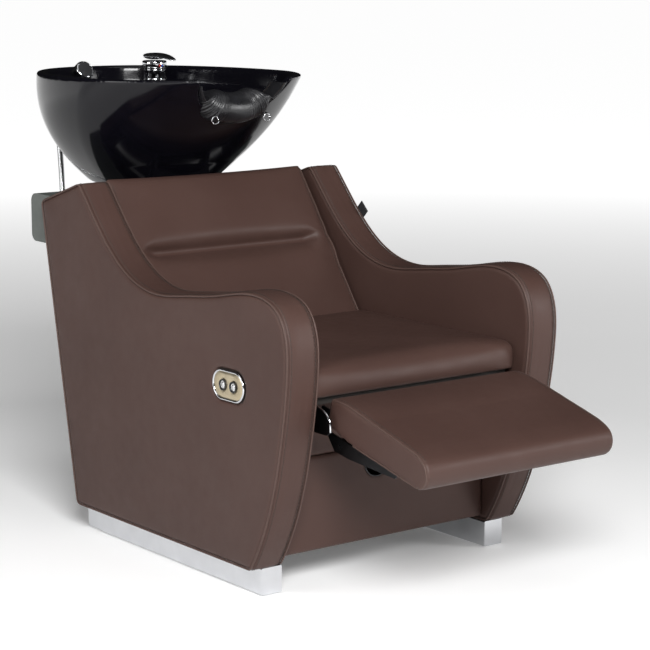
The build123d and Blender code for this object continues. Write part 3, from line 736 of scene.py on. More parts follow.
def studio():
    world = bpy.data.worlds.new("studio")
    bpy.context.scene.world = world
    bpy.context.scene.view_settings.view_transform = "Standard"
    world.use_nodes = True
    tree = world.node_tree
    place = tree.nodes.new("ShaderNodeTexCoord")
    toward = tree.nodes.new("ShaderNodeVectorMath")
    toward.operation = "DOT_PRODUCT"
    toward.inputs[1].default_value = Vector((-0.35, -0.85, 0.40)).normalized()
    ramp = tree.nodes.new("ShaderNodeMapRange")
    for socket, value in (("From Min", -1.0), ("From Max", 1.0), ("To Min", 0.10), ("To Max", 1.05)):
        ramp.inputs[socket].default_value = value
    tree.links.new(place.outputs["Generated"], toward.inputs[0])
    tree.links.new(toward.outputs["Value"], ramp.inputs["Value"])
    tree.links.new(ramp.outputs["Result"], tree.nodes["Background"].inputs["Strength"])
    soft_light("key", (-2.0, -3.6, 2.6), (0, 0.1, 0.6), 1.8, 1.4, 260)
    soft_light("side", (-3.6, 0.6, 1.6), (0, 0.2, 0.6), 1.6, 1.8, 45)
    soft_light("top", (-0.4, -0.6, 3.6), (0, 0, 0.4), 2.4, 2.4, 20)
    soft_light("front", (2.6, -3.2, 1.4), (0, -0.3, 0.5), 1.2, 1.6, 60)
    paint = Paint("pale_floor", Roughness=0.8, Emission_Color=(1, 1, 1, 1))
    away = paint.add("ShaderNodeVectorMath", operation="LENGTH")
    paint.link(paint.place, away.inputs[0])
    glow = paint.add("ShaderNodeMapRange")
    for socket, value in (("From Min", 1.5), ("From Max", 7.0), ("To Min", 0.12), ("To Max", 0.95)):
        glow.inputs[socket].default_value = value
    paint.link(away.outputs["Value"], glow.inputs["Value"])
    paint.link(glow.outputs["Result"], paint.shader.inputs["Emission Strength"])
    paint.colour(paint.mottle(2.0, 3.0, (0.93, 0.93, 0.93), (0.95, 0.95, 0.95)))
    mesh = bpy.data.meshes.new("floor")
    reach, count = 70.0, 96
    ring = [(reach * cos(2 * pi * k / count), reach * sin(2 * pi * k / count), 0.0) for k in range(count)]
    mesh.from_pydata(ring, [], [tuple(range(count))])
    mesh.materials.append(paint.material)
    floor = bpy.data.objects.new("floor", mesh)
    bpy.context.scene.collection.objects.link(floor)
    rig.stage(floor)


# ---------------------------------------------------------------- spray hose

HOSE_ROUTE = [(105, 1024, 868), (105, 1024, 790), (109, 1026, 665), (114, 1030, 515), (111, 1033, 375),
              (94, 1036, 268), (52, 1039, 203), (-6, 1042, 182), (-64, 1046, 205), (-102, 1051, 272),
              (-118, 1057, 378), (-119, 1063, 508), (-115, 1071, 635), (-111, 1084, 748), (-110, 1095, 829.7),
              (-110, 1065, 881.7)]
HOSE_DIAMETER = 14.0


def spray_hose():
    """A spiral metal hose: its ribs follow the smooth line of the route's NURBS curve."""
    curve = bpy.data.curves.new("hose_line", "CURVE")
    curve.dimensions = "3D"
    curve.resolution_u = 24
    spline = curve.splines.new("NURBS")
    spline.points.add(len(HOSE_ROUTE) - 1)
    for point, place in zip(spline.points, metres(HOSE_ROUTE)):
        point.co = (*place, 1)
    spline.order_u = 3
    spline.use_endpoint_u = True
    guide = bpy.data.objects.new("hose_line", curve)
    bpy.context.scene.collection.objects.link(guide)
    line = bpy.data.meshes.new_from_object(guide)
    path = datum_points(line)
    bpy.data.objects.remove(guide)
    length = np.linalg.norm(np.diff(path, axis=0), axis=1).sum()
    pitch = 3.6
    path = resample(path, pitch / 4, closed=False)
    ribs = [HOSE_DIAMETER / 2 - (0.0, 0.25, 0.9, 0.25)[k % 4] for k in range(len(path))]
    vertices, faces = tube(path, ribs, sides=16)
    hose = add_piece("spray_hose_ribbed", "bowl", "hose_metal", vertices, faces)
    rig.replaces(hose, "spray_hose")
    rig.cord(hose, exit=metres(HOSE_ROUTE)[0], length=length * MM, diameter=HOSE_DIAMETER * MM,
            far_end="object", stiffness="medium", lay="hanging", path=metres(path),
            with_pieces=[NODES["hose_nuts"]])


# ---------------------------------------------------------------- arms

def arm(side, name):
    """One arm: outer and inner panels, the band between them, two welts and their stitches."""
    outline = resample(outline_of(f"arm_inner_cover_{name}", side)[0], 6.0)
    cover = datum_box(f"arm_outer_cover_{name}")
    outer_x = max(abs(corner[0]) for corner in cover)
    inner_x = min(abs(corner[0]) for corner in datum_box(f"arm_inner_cover_{name}"))
    thickness = 5.0
    edge = inset(outline, 3.2)
    holes = []
    if side < 0:
        control_low, control_high = datum_box("control_bezel")
        holes = [oval_loop(control_low, control_high, 1.0)]
    for label, x, facing, hole_loops in (("outer", outer_x, 1, holes), ("inner", inner_x, -1, [])):
        face = soft_face(4.6, 1.6 if facing > 0 else 1.0, 45.0, 0.9, 3.0 + side + facing)
        base = x - facing * 0.8
        vertices, faces = panel([edge] + hole_loops, face,
                                lambda p, h: (side * (base + facing * h), p[0], p[1]), thickness)
        piece = add_piece(f"arm_{label}_panel_{name}", "root", "upholstery", vertices, faces)
        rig.replaces(piece, f"arm_{label}_cover_{name}")
        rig.padded(piece, 0.5)
        welt_path = np.column_stack([np.full(len(outline), side * (x - facing * 2.6)), inset(outline, 2.2)])
        add_piece(f"arm_{label}_welt_{name}", "root", "upholstery", *tube(welt_path, 2.1, closed=True))
        seam = resample(inset(outline, -0.7), 6.0)
        seam_path = np.column_stack([np.full(len(seam), side * (x - facing * 11.5)), seam])
        add_piece(f"arm_{label}_stitches_{name}", "root", "upholstery", *stitches(seam_path, closed=True),
                  materials=[THREAD])
    half = (outer_x - inner_x) / 2
    middle = (outer_x + inner_x) / 2
    across = np.concatenate([np.linspace(-1, -0.8, 7), np.linspace(-0.7, 0.7, 11), np.linspace(0.8, 1, 7)])
    out = outward(outline)
    rows = []
    for t in across:
        from_seam = (1 - abs(t)) * half
        rise = 0.9 * (1 - t * t) - 4.5 * np.exp(-(max(from_seam - 3.5, 0) / 2.6) ** 1.3)
        groove = 0.5 * np.exp(-((from_seam - 11.5) / 1.6) ** 2)
        wave = ripple(outline + 400.0 * t, 120.0, 0.6, 5.0) * (1 - t * t)
        points = outline + out * (rise - groove + wave)[:, None]
        rows.append(np.column_stack([np.full(len(outline), side * (middle + t * (half - 3.6))), points]))
    for t in across[::-4]:
        points = inset(outline, 6.0)
        rows.append(np.column_stack([np.full(len(outline), side * (middle + t * (half - 3.6))), points]))
    band = add_piece(f"arm_band_padded_{name}", "root", "upholstery", np.vstack(rows),
                     grid_faces(len(rows), len(outline), close_rows=True))
    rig.replaces(band, f"arm_band_{name}")
    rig.padded(band, 0.6)


def oval_loop(low, high, grow, count=72):
    """The outline of the hand control's oval, on the (Y, Z) plane."""
    radius = (high[2] - low[2]) / 2
    centre_y, centre_z = (low[1] + high[1]) / 2, (low[2] + high[2]) / 2
    straight = (high[1] - low[1]) / 2 - radius
    loop = []
    for k in range(count):
        turn = 2 * pi * (k + 0.5) / count
        loop.append((centre_y + (straight if cos(turn) > 0 else -straight) + (radius + grow) * cos(turn),
                     centre_z + (radius + grow) * sin(turn)))
    return resample(loop, 3.0)


# ---------------------------------------------------------------- hand control

def hand_control():
    low, high = datum_box("control_bezel")
    x = low[0]
    plate_loop = oval_loop(low, high, -5.2)
    rim_loop = oval_loop(low, high, -2.6)
    holes = []
    for button in ("button_up", "button_down"):
        button_low, button_high = datum_box(button)
        centre = np.array(((button_low[1] + button_high[1]) / 2, (button_low[2] + button_high[2]) / 2))
        turns = 2 * pi * np.arange(40) / 40
        holes.append(centre + 11.2 * np.column_stack([np.cos(turns), np.sin(turns)]))
        collar = rounded_profile([(9.3, 0.0), (11.1, 0.0), (11.1, 3.4), (9.3, 3.4)], 0.8)
        place = (x + 1.2, *centre)
        vertices, faces = lathe_ring(place, (-1, 0, 0), collar)
        add_piece(button + "_collar", "root", "champagne_metal", vertices, faces, materials=[DARK_ENAMEL])
        profile = [(0.6, 0.0), (8.6, 0.0), (8.8, 2.0), (8.8, 5.6), (8.3, 6.4), (7.2, 6.8), (6.9, 6.6),
                   (6.5, 6.5), (5.6, 6.55), (5.2, 6.9), (3.0, 7.4), (0.6, 7.5)]
        vertices, faces = lathe((x + 7.2, *centre), (-1, 0, 0), profile, 48)
        rows = len(profile) - 1
        white_rows = (6, 7, 8)
        paint = [1 if row in white_rows else 0 for row in range(rows) for _ in range(48)] + [0, 0]
        piece = add_piece(button + "_disc", button, "button_metal", vertices, faces,
                          [MATERIALS["button_metal"], WHITE_ENAMEL], paint)
        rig.replaces(piece, button)
    vertices, faces = panel([plate_loop] + holes, lambda d, p: 1.6 * (1 - np.exp(-d / 2.5)),
                            lambda p, h: (x + 1.6 - h, p[0], p[1]), 3.5, spacing=6.0)
    plate = add_piece("control_plate", "root", "champagne_metal", vertices, faces)
    sharpen(plate, 50)
    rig.replaces(plate, "control_bezel")
    rim = np.column_stack([np.full(len(rim_loop), x + 1.6), rim_loop])
    add_piece("control_rim", "root", "chrome", *tube(rim, 2.5, closed=True, sides=14))


def lathe_ring(origin, axis, profile, count=48):
    """A closed turned ring from a closed (radius, height) outline."""
    side, other, axis = axis_frame(axis)
    origin = np.array(origin, float)
    turns = [2 * pi * k / count for k in range(count)]
    vertices = [origin + axis * height + radius * (cos(turn) * side + sin(turn) * other)
                for radius, height in profile for turn in turns]
    return vertices, grid_faces(len(profile), count, close_rows=True)


# ---------------------------------------------------------------- cushions

def swell(piece, pinned, voxel, pressure, cap):
    """Inflates a closed piece with cloth; pinned(points) gives how firmly each point is held."""
    voxel_skin(piece, voxel)
    apply_modifiers(piece)
    start = np.array([tuple(vertex.co) for vertex in piece.data.vertices])
    datum = start / MM - (0.0, ORIGIN_Y, 0.0)
    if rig.quick():
        return
    group = piece.vertex_groups.new(name="held")
    for index, weight in enumerate(pinned(datum)):
        group.add([index], float(weight), "REPLACE")
    cloth = piece.modifiers.new("cloth", "CLOTH")
    cloth.settings.use_pressure = True
    cloth.settings.uniform_pressure_force = pressure
    cloth.settings.vertex_group_mass = "held"
    cloth.settings.tension_stiffness = cloth.settings.compression_stiffness = 12
    cloth.settings.bending_stiffness = 1.2
    cloth.settings.effector_weights.gravity = 0
    for number in range(1, 21):
        bpy.context.scene.frame_set(number)
    graph = bpy.context.evaluated_depsgraph_get()
    result = piece.evaluated_get(graph).data
    end = np.array([tuple(vertex.co) for vertex in result.vertices])
    piece.modifiers.clear()
    bpy.context.scene.frame_set(1)
    shift = end - start
    size = np.linalg.norm(shift, axis=1)
    limit = cap * MM * np.tanh(size / (cap * MM)) / np.maximum(size, 1e-9)
    piece.data.vertices.foreach_set("co", (start + shift * limit[:, None]).ravel())


def finish_cushion(piece, fill):
    relax(piece, 6)
    apply_modifiers(piece)
    subdivide(piece)
    apply_modifiers(piece)
    shade_smooth(piece.data)
    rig.padded(piece, fill)


def surface_of(piece):
    graph = bpy.context.evaluated_depsgraph_get()
    return BVHTree.FromObject(piece, graph)


def on_surface(tree, points, lift=0.0):
    """Points in millimetres moved to the nearest place on a surface, then lifted off it."""
    moved = []
    for point in metres(points):
        place, normal, _, _ = tree.find_nearest(Vector(point))
        moved.append(place + normal * lift * MM)
    return np.array([tuple(point) for point in moved]) / MM - (0.0, ORIGIN_Y, 0.0)


def smooth_path(points, rounds=6, closed=False):
    points = np.asarray(points, float)
    for _ in range(rounds):
        around = (np.roll(points, 1, 0) + np.roll(points, -1, 0)) / 2
        if not closed:
            around[0], around[-1] = points[0], points[-1]
        points = 0.5 * points + 0.5 * around
    return points


def seam_on(piece, name, body, path, stitch_offset, closed=False, welt=2.2):
    """A welt along a cushion's seam, with a row of stitches beside it."""
    tree = surface_of(piece)
    line = smooth_path(on_surface(tree, resample(path, 5.0, closed), 0.2 * welt), 5, closed)
    add_piece(name + "_welt", body, "upholstery", *tube(line, welt, closed))
    shifted = np.asarray(path, float) + np.asarray(stitch_offset, float)
    row = smooth_path(on_surface(tree, resample(shifted, 5.0, closed), 0.3), 4, closed)
    add_piece(name + "_stitches", body, "upholstery", *stitches(row, closed), materials=[THREAD])


def prism(outline, half_width):
    """A closed block: a (Y, Z) outline made solid across the chair."""
    count = len(outline)
    vertices = [(x, y, z) for x in (-half_width, half_width) for y, z in outline]
    faces = [tuple(range(count)), tuple(range(count, 2 * count))]
    faces += [(k, (k + 1) % count, (k + 1) % count + count, k + count) for k in range(count)]
    return vertices, faces


def rounded_outline(corners, radii, steps=8):
    """A (Y, Z) outline with its corners rounded, each by its own radius."""
    points = []
    corners = [np.array(corner, float) for corner in corners]
    for k, (corner, radius) in enumerate(zip(corners, radii)):
        before, after = corners[k - 1], corners[(k + 1) % len(corners)]
        reach_in, reach_out = np.linalg.norm(before - corner), np.linalg.norm(after - corner)
        start = corner + (before - corner) / reach_in * min(radius, 0.48 * reach_in)
        end = corner + (after - corner) / reach_out * min(radius, 0.48 * reach_out)
        for t in np.linspace(0, 1, steps if radius > 0 else 1):
            points.append(tuple((1 - t) ** 2 * start + 2 * t * (1 - t) * corner + t ** 2 * end))
    return points


def seat_cushion():
    low, high = datum_box("seat_cushion")
    rear_top = high[1] - 2
    rear_low = rear_top - (high[2] - low[2]) * tan(BACK_LEAN)
    front = low[1] + 3
    outline = rounded_outline([(front, low[2] + 1), (rear_low, low[2] + 1), (rear_top, high[2] - 3),
                               (front, high[2] - 3)], [4, 0, 6, 34])
    piece = add_piece("seat_cushion_padded", "root", "upholstery", *prism(outline, high[0] - 1.5))
    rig.replaces(piece, "seat_cushion")

    def held(points):
        bottom = points[:, 2] < low[2] + 5
        sides = np.abs(points[:, 0]) > high[0] - 5
        back = points[:, 1] > rear_low + (points[:, 2] - low[2]) * tan(BACK_LEAN) - 6
        return np.where(bottom | sides | back, 1.0, 0.0)

    swell(piece, held, 6.0, 4.0, 9.0)
    finish_cushion(piece, 0.7)


BACK_FOOT, BACK_HEAD = (396.0, 429.0), (642.0, 768.0)
BACK_LEAN = atan2(BACK_HEAD[0] - BACK_FOOT[0], BACK_HEAD[1] - BACK_FOOT[1])
BACK_LENGTH = hypot(BACK_HEAD[0] - BACK_FOOT[0], BACK_HEAD[1] - BACK_FOOT[1])
BACK_PLEAT = 240.0


def back_point(along, behind):
    return (BACK_FOOT[0] + along * sin(BACK_LEAN) + behind * cos(BACK_LEAN),
            BACK_FOOT[1] + along * cos(BACK_LEAN) - behind * sin(BACK_LEAN))


def back_place(points):
    """The distance up the backrest and behind its face, of each point."""
    dy, dz = points[:, 1] - BACK_FOOT[0], points[:, 2] - BACK_FOOT[1]
    return dy * sin(BACK_LEAN) + dz * cos(BACK_LEAN), dy * cos(BACK_LEAN) - dz * sin(BACK_LEAN)


def backrest():
    depth = 45.0
    pleat = [(BACK_PLEAT - 60, 3), (BACK_PLEAT - 22, 9), (BACK_PLEAT - 12, 27), (BACK_PLEAT + 1, 27),
             (BACK_PLEAT + 5, 1)]
    corners = [(2, 3)] + pleat + [(BACK_LENGTH - 2, 2), (BACK_LENGTH - 2, depth - 1), (2, depth - 1)]
    radii = [5, 30, 12, 4, 4, 8, 9, 6, 4]
    outline = [back_point(*point) for point in rounded_outline(corners, radii)]
    half = datum_box("backrest_cushion")[1][0]
    piece = add_piece("backrest_padded", "root", "upholstery", *prism(outline, half - 2))
    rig.replaces(piece, "backrest_cushion")

    def held(points):
        along, behind = back_place(points)
        pleat_line = (np.abs(along - BACK_PLEAT + 6) < 10) & (behind > 14)
        hard = (behind > depth - 10) | (np.abs(points[:, 0]) > half - 7) | pleat_line | (along < 6)
        return np.where(hard, 1.0, 0.0)

    swell(piece, held, 6.0, 4.0, 8.0)
    datum = datum_points(piece.data)
    along, behind = back_place(datum)
    near_end = np.clip((np.abs(datum[:, 0]) - (half - 62)) / 34, 0, 1)
    in_pleat = np.clip((along - BACK_PLEAT + 70) / 10, 0, 1) * np.clip((BACK_PLEAT + 16 - along) / 10, 0, 1)
    fill = near_end * in_pleat * np.clip(behind - 2.0, 0, None) * (behind < 30)
    fold = 2.6 * np.exp(-((np.abs(datum[:, 0]) - (half - 40)) / 20) ** 2)
    fold *= np.sin((along - BACK_PLEAT + 0.5 * (np.abs(datum[:, 0]) - half + 40)) / 6.0) * np.exp(
        -((along - BACK_PLEAT) / 22) ** 2)
    forward = fill + fold * (behind < 30)
    datum[:, 1] -= forward * cos(BACK_LEAN)
    datum[:, 2] += forward * sin(BACK_LEAN)
    piece.data.vertices.foreach_set("co", metres(datum).ravel())
    finish_cushion(piece, 0.65)
    for side, label in SIDES:
        x = side * (half - 3.0)
        edge = [(x, *back_point(along, 3.0)) for along in np.linspace(25, BACK_LENGTH - 12, 40)]
        edge += [(x, *back_point(BACK_LENGTH - 2, behind)) for behind in (12, 20, 28, 36, 42)]
        seam_on(piece, f"backrest_{label}", "root", edge, (-side * 7.0, 0, 0), welt=1.9)
    loop = [(x, *back_point(BACK_LENGTH - 1, 40)) for x in np.linspace(-half + 12, half - 12, 60)]
    seam_on(piece, "backrest_top", "root", loop, (0, -6.0, 0), welt=1.7)
    rear_panel_piece("backrest_back_cover", 3.0, 0.8, "backrest_back_panel")


HINGE_Y, HINGE_Z = -92.0, 372.0
PAD_DROP = radians(12.6)
PAD_S0, PAD_S1, PAD_TOP, PAD_UNDER = 15.0, 323.66, 44.0, -31.0


def pad_point(s, n):
    return (HINGE_Y - s * cos(PAD_DROP) - n * sin(PAD_DROP), HINGE_Z - s * sin(PAD_DROP) + n * cos(PAD_DROP))


def pad_place(points):
    dy, dz = HINGE_Y - points[:, 1], points[:, 2] - HINGE_Z
    return dy * cos(PAD_DROP) - dz * sin(PAD_DROP), -dy * sin(PAD_DROP) + dz * cos(PAD_DROP)


def leg_rest():
    """A thick pad wrapped round its board: highest towards the seat, and rolled over at the nose."""
    half = datum_box("legrest_cushion")[1][0]
    yoke_half, yoke_reach = 20.0, 127.0
    corners = [(PAD_S0 + 78, PAD_UNDER + 3), (PAD_S1 - 6, PAD_UNDER + 1), (PAD_S1 - 1, PAD_TOP - 20),
               (PAD_S1 - 46, PAD_TOP - 8), (PAD_S0 + 48, PAD_TOP + 3), (PAD_S0 + 1, PAD_TOP - 4),
               (PAD_S0 + 2, PAD_UNDER + 14)]
    outline = [pad_point(*point) for point in rounded_outline(corners, [30, 26, 30, 24, 24, 5, 4])]
    piece = add_piece("legrest_padded", "legrest", "upholstery", *prism(outline, half - 1.5))
    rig.replaces(piece, "legrest_cushion")
    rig.replaces(piece, "legrest_board")

    def held(points):
        s, n = pad_place(points)
        bottom = n < PAD_UNDER + 8
        corner = (np.abs(points[:, 0]) > half - 8) & (n > PAD_TOP - 18)
        return np.where(bottom | corner | (s < PAD_S0 + 6), 1.0, 0.0)

    swell(piece, held, 6.0, 4.5, 7.0)
    notch_points = [(PAD_S0 - 20, PAD_UNDER - 20), (yoke_reach, PAD_UNDER - 20), (yoke_reach, -15.0),
                    (PAD_S0 - 20, -15.0)]
    cutter = add_piece("yoke_notch", "legrest", "upholstery",
                       *prism([pad_point(*point) for point in notch_points], yoke_half))
    notch = piece.modifiers.new("yoke_notch", "BOOLEAN")
    notch.operation, notch.solver, notch.object = "DIFFERENCE", "EXACT", cutter
    apply_modifiers(piece)
    bpy.data.objects.remove(cutter)
    finish_cushion(piece, 0.75)
    label_edge = [(PAD_S0 + 4, PAD_TOP - 4), (PAD_S0 + 48, PAD_TOP + 2), (PAD_S1 - 40, PAD_TOP - 9)]
    for side, label in SIDES:
        x = side * (half - 2.5)
        rise = np.linspace(0, 1, 40)
        edge_s = np.interp(rise, (0, 0.25, 1), [point[0] for point in label_edge])
        edge_n = np.interp(rise, (0, 0.25, 1), [point[1] for point in label_edge])
        edge = [(x, *pad_point(s, n)) for s, n in zip(edge_s, edge_n)]
        nose = ((PAD_S1 - 16, PAD_TOP - 22), (PAD_S1 - 4, PAD_TOP - 44), (PAD_S1 - 9, PAD_UNDER + 12),
                (PAD_S1 - 24, PAD_UNDER + 2))
        edge += [(x, *pad_point(s, n)) for s, n in nose]
        seam_on(piece, f"legrest_{label}", "legrest", edge, (-side * 8.0, 0, 0), welt=1.8)
        under = [(x, *pad_point(s, PAD_UNDER + 2)) for s in np.linspace(PAD_S0 + 84, PAD_S1 - 24, 40)]
        seam_on(piece, f"legrest_under_{label}", "legrest", under, (-side * 8.0, 0, 0), welt=1.6)


# ---------------------------------------------------------------- flat upholstered panels

def slab_frame(node):
    """The outward direction of a CAD slab's broad face; the slab faces the way its thin side points."""
    mesh = NODES[node].data
    totals = {}
    for polygon in mesh.polygons:
        normal = polygon.normal
        key = (round(normal.y, 2), round(normal.z, 2))
        if abs(normal.x) < 0.1:
            totals[key] = totals.get(key, Vector((0, 0, 0))) + normal * polygon.area
    best = max(totals, key=lambda key: (round(totals[key].length, 4), key))
    return np.array(totals[best].normalized())


def rear_panel_piece(node, roll, crown, name):
    """A crowned leather panel over a CAD slab that leans back, with its outline and holes."""
    facing = slab_frame(node)
    if facing[1] < 0:
        facing = -facing
    up = np.cross((1.0, 0.0, 0.0), facing)
    if up[2] < 0:
        up = -up
    corners = datum_points(NODES[node].data)
    level = (corners @ facing).max()
    on_face = corners[corners @ facing > level - 0.2]
    along = on_face @ up
    low_x, high_x, low_u, high_u = on_face[:, 0].min(), on_face[:, 0].max(), along.min(), along.max()
    loop = resample(rounded_outline([(low_x, low_u), (high_x, low_u), (high_x, high_u), (low_x, high_u)],
                                    [6, 6, 6, 6]), 6.0)
    loops = [loop]
    if node == "rear_panel":
        socket_low, socket_high = datum_box("mains_inlet")
        centre_u = ((socket_low[2] + socket_high[2]) / 2 - (level * facing)[2]) / up[2]
        half_u = (socket_high[2] - socket_low[2]) / 2 + 2
        x0, x1 = socket_low[0] - 1, socket_high[0] + 1
        hole = rounded_outline([(x0, -half_u), (x1, -half_u), (x1, half_u), (x0, half_u)], [3, 3, 3, 3])
        hole = [(x, centre_u + (half_u if u > 0 else -half_u)) for x, u in hole]
        loops.append(resample(hole, 4.0))

    def to_space(point, h):
        return tuple(np.array((point[0], 0.0, 0.0)) + point[1] * up + (level - 0.8 + h) * facing)

    vertices, faces = panel(loops, soft_face(roll, crown, 35.0, 0.5, 9.0), to_space, 2.2)
    piece = add_piece(name, "root", "upholstery", vertices, faces)
    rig.replaces(piece, node)
    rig.padded(piece, 0.4)


def front_panel(node, holes, name):
    low, high = datum_box(node)
    corners = [(low[0], low[2]), (high[0], low[2]), (high[0], high[2]), (low[0], high[2])]
    radii = [5, 5, 5, 5]
    if node == "front_panel_upper":
        cut = datum_box("legrest_pivot_plates")[1][0] + 2.5
        inner, bottom = 245.5, 342.5
        corners = [(low[0], low[2]), (high[0], low[2]), (high[0], high[2]), (cut, high[2]), (cut, bottom),
                   (inner, bottom), (inner, high[2]), (-inner, high[2]), (-inner, bottom), (-cut, bottom),
                   (-cut, high[2]), (low[0], high[2])]
        radii = [5, 5, 2, 2, 2, 2, 2, 2, 2, 2, 2, 2]
    loop = resample(rounded_outline(corners, radii), 5.0)
    vertices, faces = panel([loop] + holes, soft_face(3.2, 1.2, 35.0, 0.6, 4.0),
                            lambda p, h: (p[0], low[1] + 0.8 - h, p[1]), high[1] - low[1] - 2.5)
    piece = add_piece(name, "root", "upholstery", vertices, faces)
    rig.replaces(piece, node)
    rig.padded(piece, 0.4)


def front_panels():
    turns = 2 * pi * np.arange(56) / 56
    centre, radius = (-20.0, 229.0), 30.5
    hole = np.array(centre) + radius * np.column_stack([np.cos(turns), np.sin(turns)])
    front_panel("front_panel_lower", [hole], "front_panel_lower_padded")
    front = datum_box("front_panel_lower")[0][1]
    liner = rounded_profile([(radius - 0.4, -1.0), (radius + 2.0, -1.0), (radius + 2.0, 10.0),
                             (radius - 0.4, 10.0)], 0.8)
    vertices, faces = lathe_ring((centre[0], front + 1.5, centre[1]), (0, 1, 0), liner, 64)
    add_piece("front_hole_liner", "root", "black_plastic", vertices, faces)
    window = resample(rounded_outline([(-32, 268), (32, 268), (32, 336), (-32, 336)], [4, 4, 4, 4]), 4.0)
    front_panel("front_panel_upper", [window], "front_panel_upper_padded")


# ---------------------------------------------------------------- basin

RIM_Z = 976.0
RIM_HALF, RIM_FRONT, RIM_WIDEST, RIM_REAR = 270.0, 430.0, 720.0, 1150.0
BASIN_DEPTH, DECK_DROP, FLOOR_DROP = 241.0, 51.0, 219.0
WALL_SIDE, WALL_FRONT, BASIN_REAR = 22.0, 30.0, 955.0
SADDLE_HALF, SADDLE_DEPTH, SADDLE_CENTRE_Z = 118.0, 93.0, RIM_Z + 10.0
DRAIN_Y = 893.0
SKIRT = 10.0                # the sides go this much lower than the cradle's plate


def shrink(drop):
    return 110 * (drop / 229) ** 2.3


def outer_front(drop):
    return RIM_FRONT + 255 * (drop / 195) ** 0.97 - np.maximum(0.0, drop - 200) * 0.35


def egg(points, half, front, rear, widest, front_power, rear_power):
    """1 on a level egg-shaped outline, less inside it."""
    y = points[:, 1] - widest
    power = np.where(y >= 0, rear_power, front_power)
    reach = np.where(y >= 0, rear - widest, widest - front)
    return ((np.abs(points[:, 0]) / half) ** power + (np.abs(y) / reach) ** power) ** (1 / power)


def outer_level(points):
    drop = np.clip(RIM_Z - points[:, 2], 0, BASIN_DEPTH + SKIRT + 4)
    pull = shrink(drop)
    return egg(points, RIM_HALF - pull, outer_front(drop), RIM_REAR - pull, RIM_WIDEST + 0.5 * drop,
               1.68 + 0.45 * drop / BASIN_DEPTH, 2.25)


def recess_level(points):
    drop = np.clip(RIM_Z - points[:, 2], 0, DECK_DROP)
    inset_by = WALL_SIDE + 0.12 * drop
    return egg(points, RIM_HALF - inset_by, RIM_FRONT + inset_by + 12 + drop, RIM_REAR - inset_by,
               RIM_WIDEST + 0.3 * drop, 1.75, 2.25)


def well_level(points):
    drop = np.clip(RIM_Z - points[:, 2], DECK_DROP, FLOOR_DROP)
    rear = BASIN_REAR - 25 * ((drop - DECK_DROP) / (FLOOR_DROP - DECK_DROP)) ** 2
    front = outer_front(drop) + WALL_FRONT
    widest = np.minimum(RIM_WIDEST + 0.5 * drop, 0.45 * front + 0.55 * rear)
    return egg(points, RIM_HALF - shrink(drop) - WALL_SIDE - 6, front, rear, widest, 1.85, 2.4)


def saddle_level(points):
    x, z = points[:, 0] / SADDLE_HALF, np.minimum(points[:, 2] - SADDLE_CENTRE_Z, 0) / SADDLE_DEPTH
    return np.sqrt(x * x + z * z)


def distance_of(level, points):
    """Roughly how far each point is outside the surface where level is 1."""
    value, slopes = level(points) - 1, 0.0
    for axis in np.eye(3):
        slopes = slopes + ((level(points + 0.5 * axis) - 1 - value) / 0.5) ** 2
    return value / np.maximum(np.sqrt(slopes), 1 / 400)


def both(a, b, rounding):
    """What is inside both shapes, with a rounded edge where they meet."""
    blend_by = np.maximum(rounding - np.abs(a - b), 0) / rounding
    return np.maximum(a, b) + blend_by ** 2 * rounding / 4


def bowl_field(points):
    x, y, z = points[:, 0], points[:, 1], points[:, 2]
    body = both(distance_of(outer_level, points), z - RIM_Z, 8)
    body = both(body, RIM_Z - BASIN_DEPTH - SKIRT - z, 5)
    over_cradle = np.maximum(np.abs(x) - 97, np.maximum(np.abs(y - 790) - 90, z - (RIM_Z - BASIN_DEPTH)))
    body = both(body, -over_cradle, 3)
    recess = both(distance_of(recess_level, points), RIM_Z - DECK_DROP - z, 16)
    body = both(body, -recess, 9)
    well = both(distance_of(well_level, points), RIM_Z - FLOOR_DROP - z, 34)
    body = both(body, -well, 16)
    neck = both(distance_of(saddle_level, points), y - 640, 6)
    body = both(body, -neck, 7)
    pocket = np.maximum(np.abs(x) - 150, np.maximum(np.abs(y - 1041.5) - 56.5, z - (RIM_Z - DECK_DROP - 14)))
    body = both(body, -pocket, 8)
    drain = np.hypot(x, y - DRAIN_Y) - 22.5
    return both(body, -drain, 3)


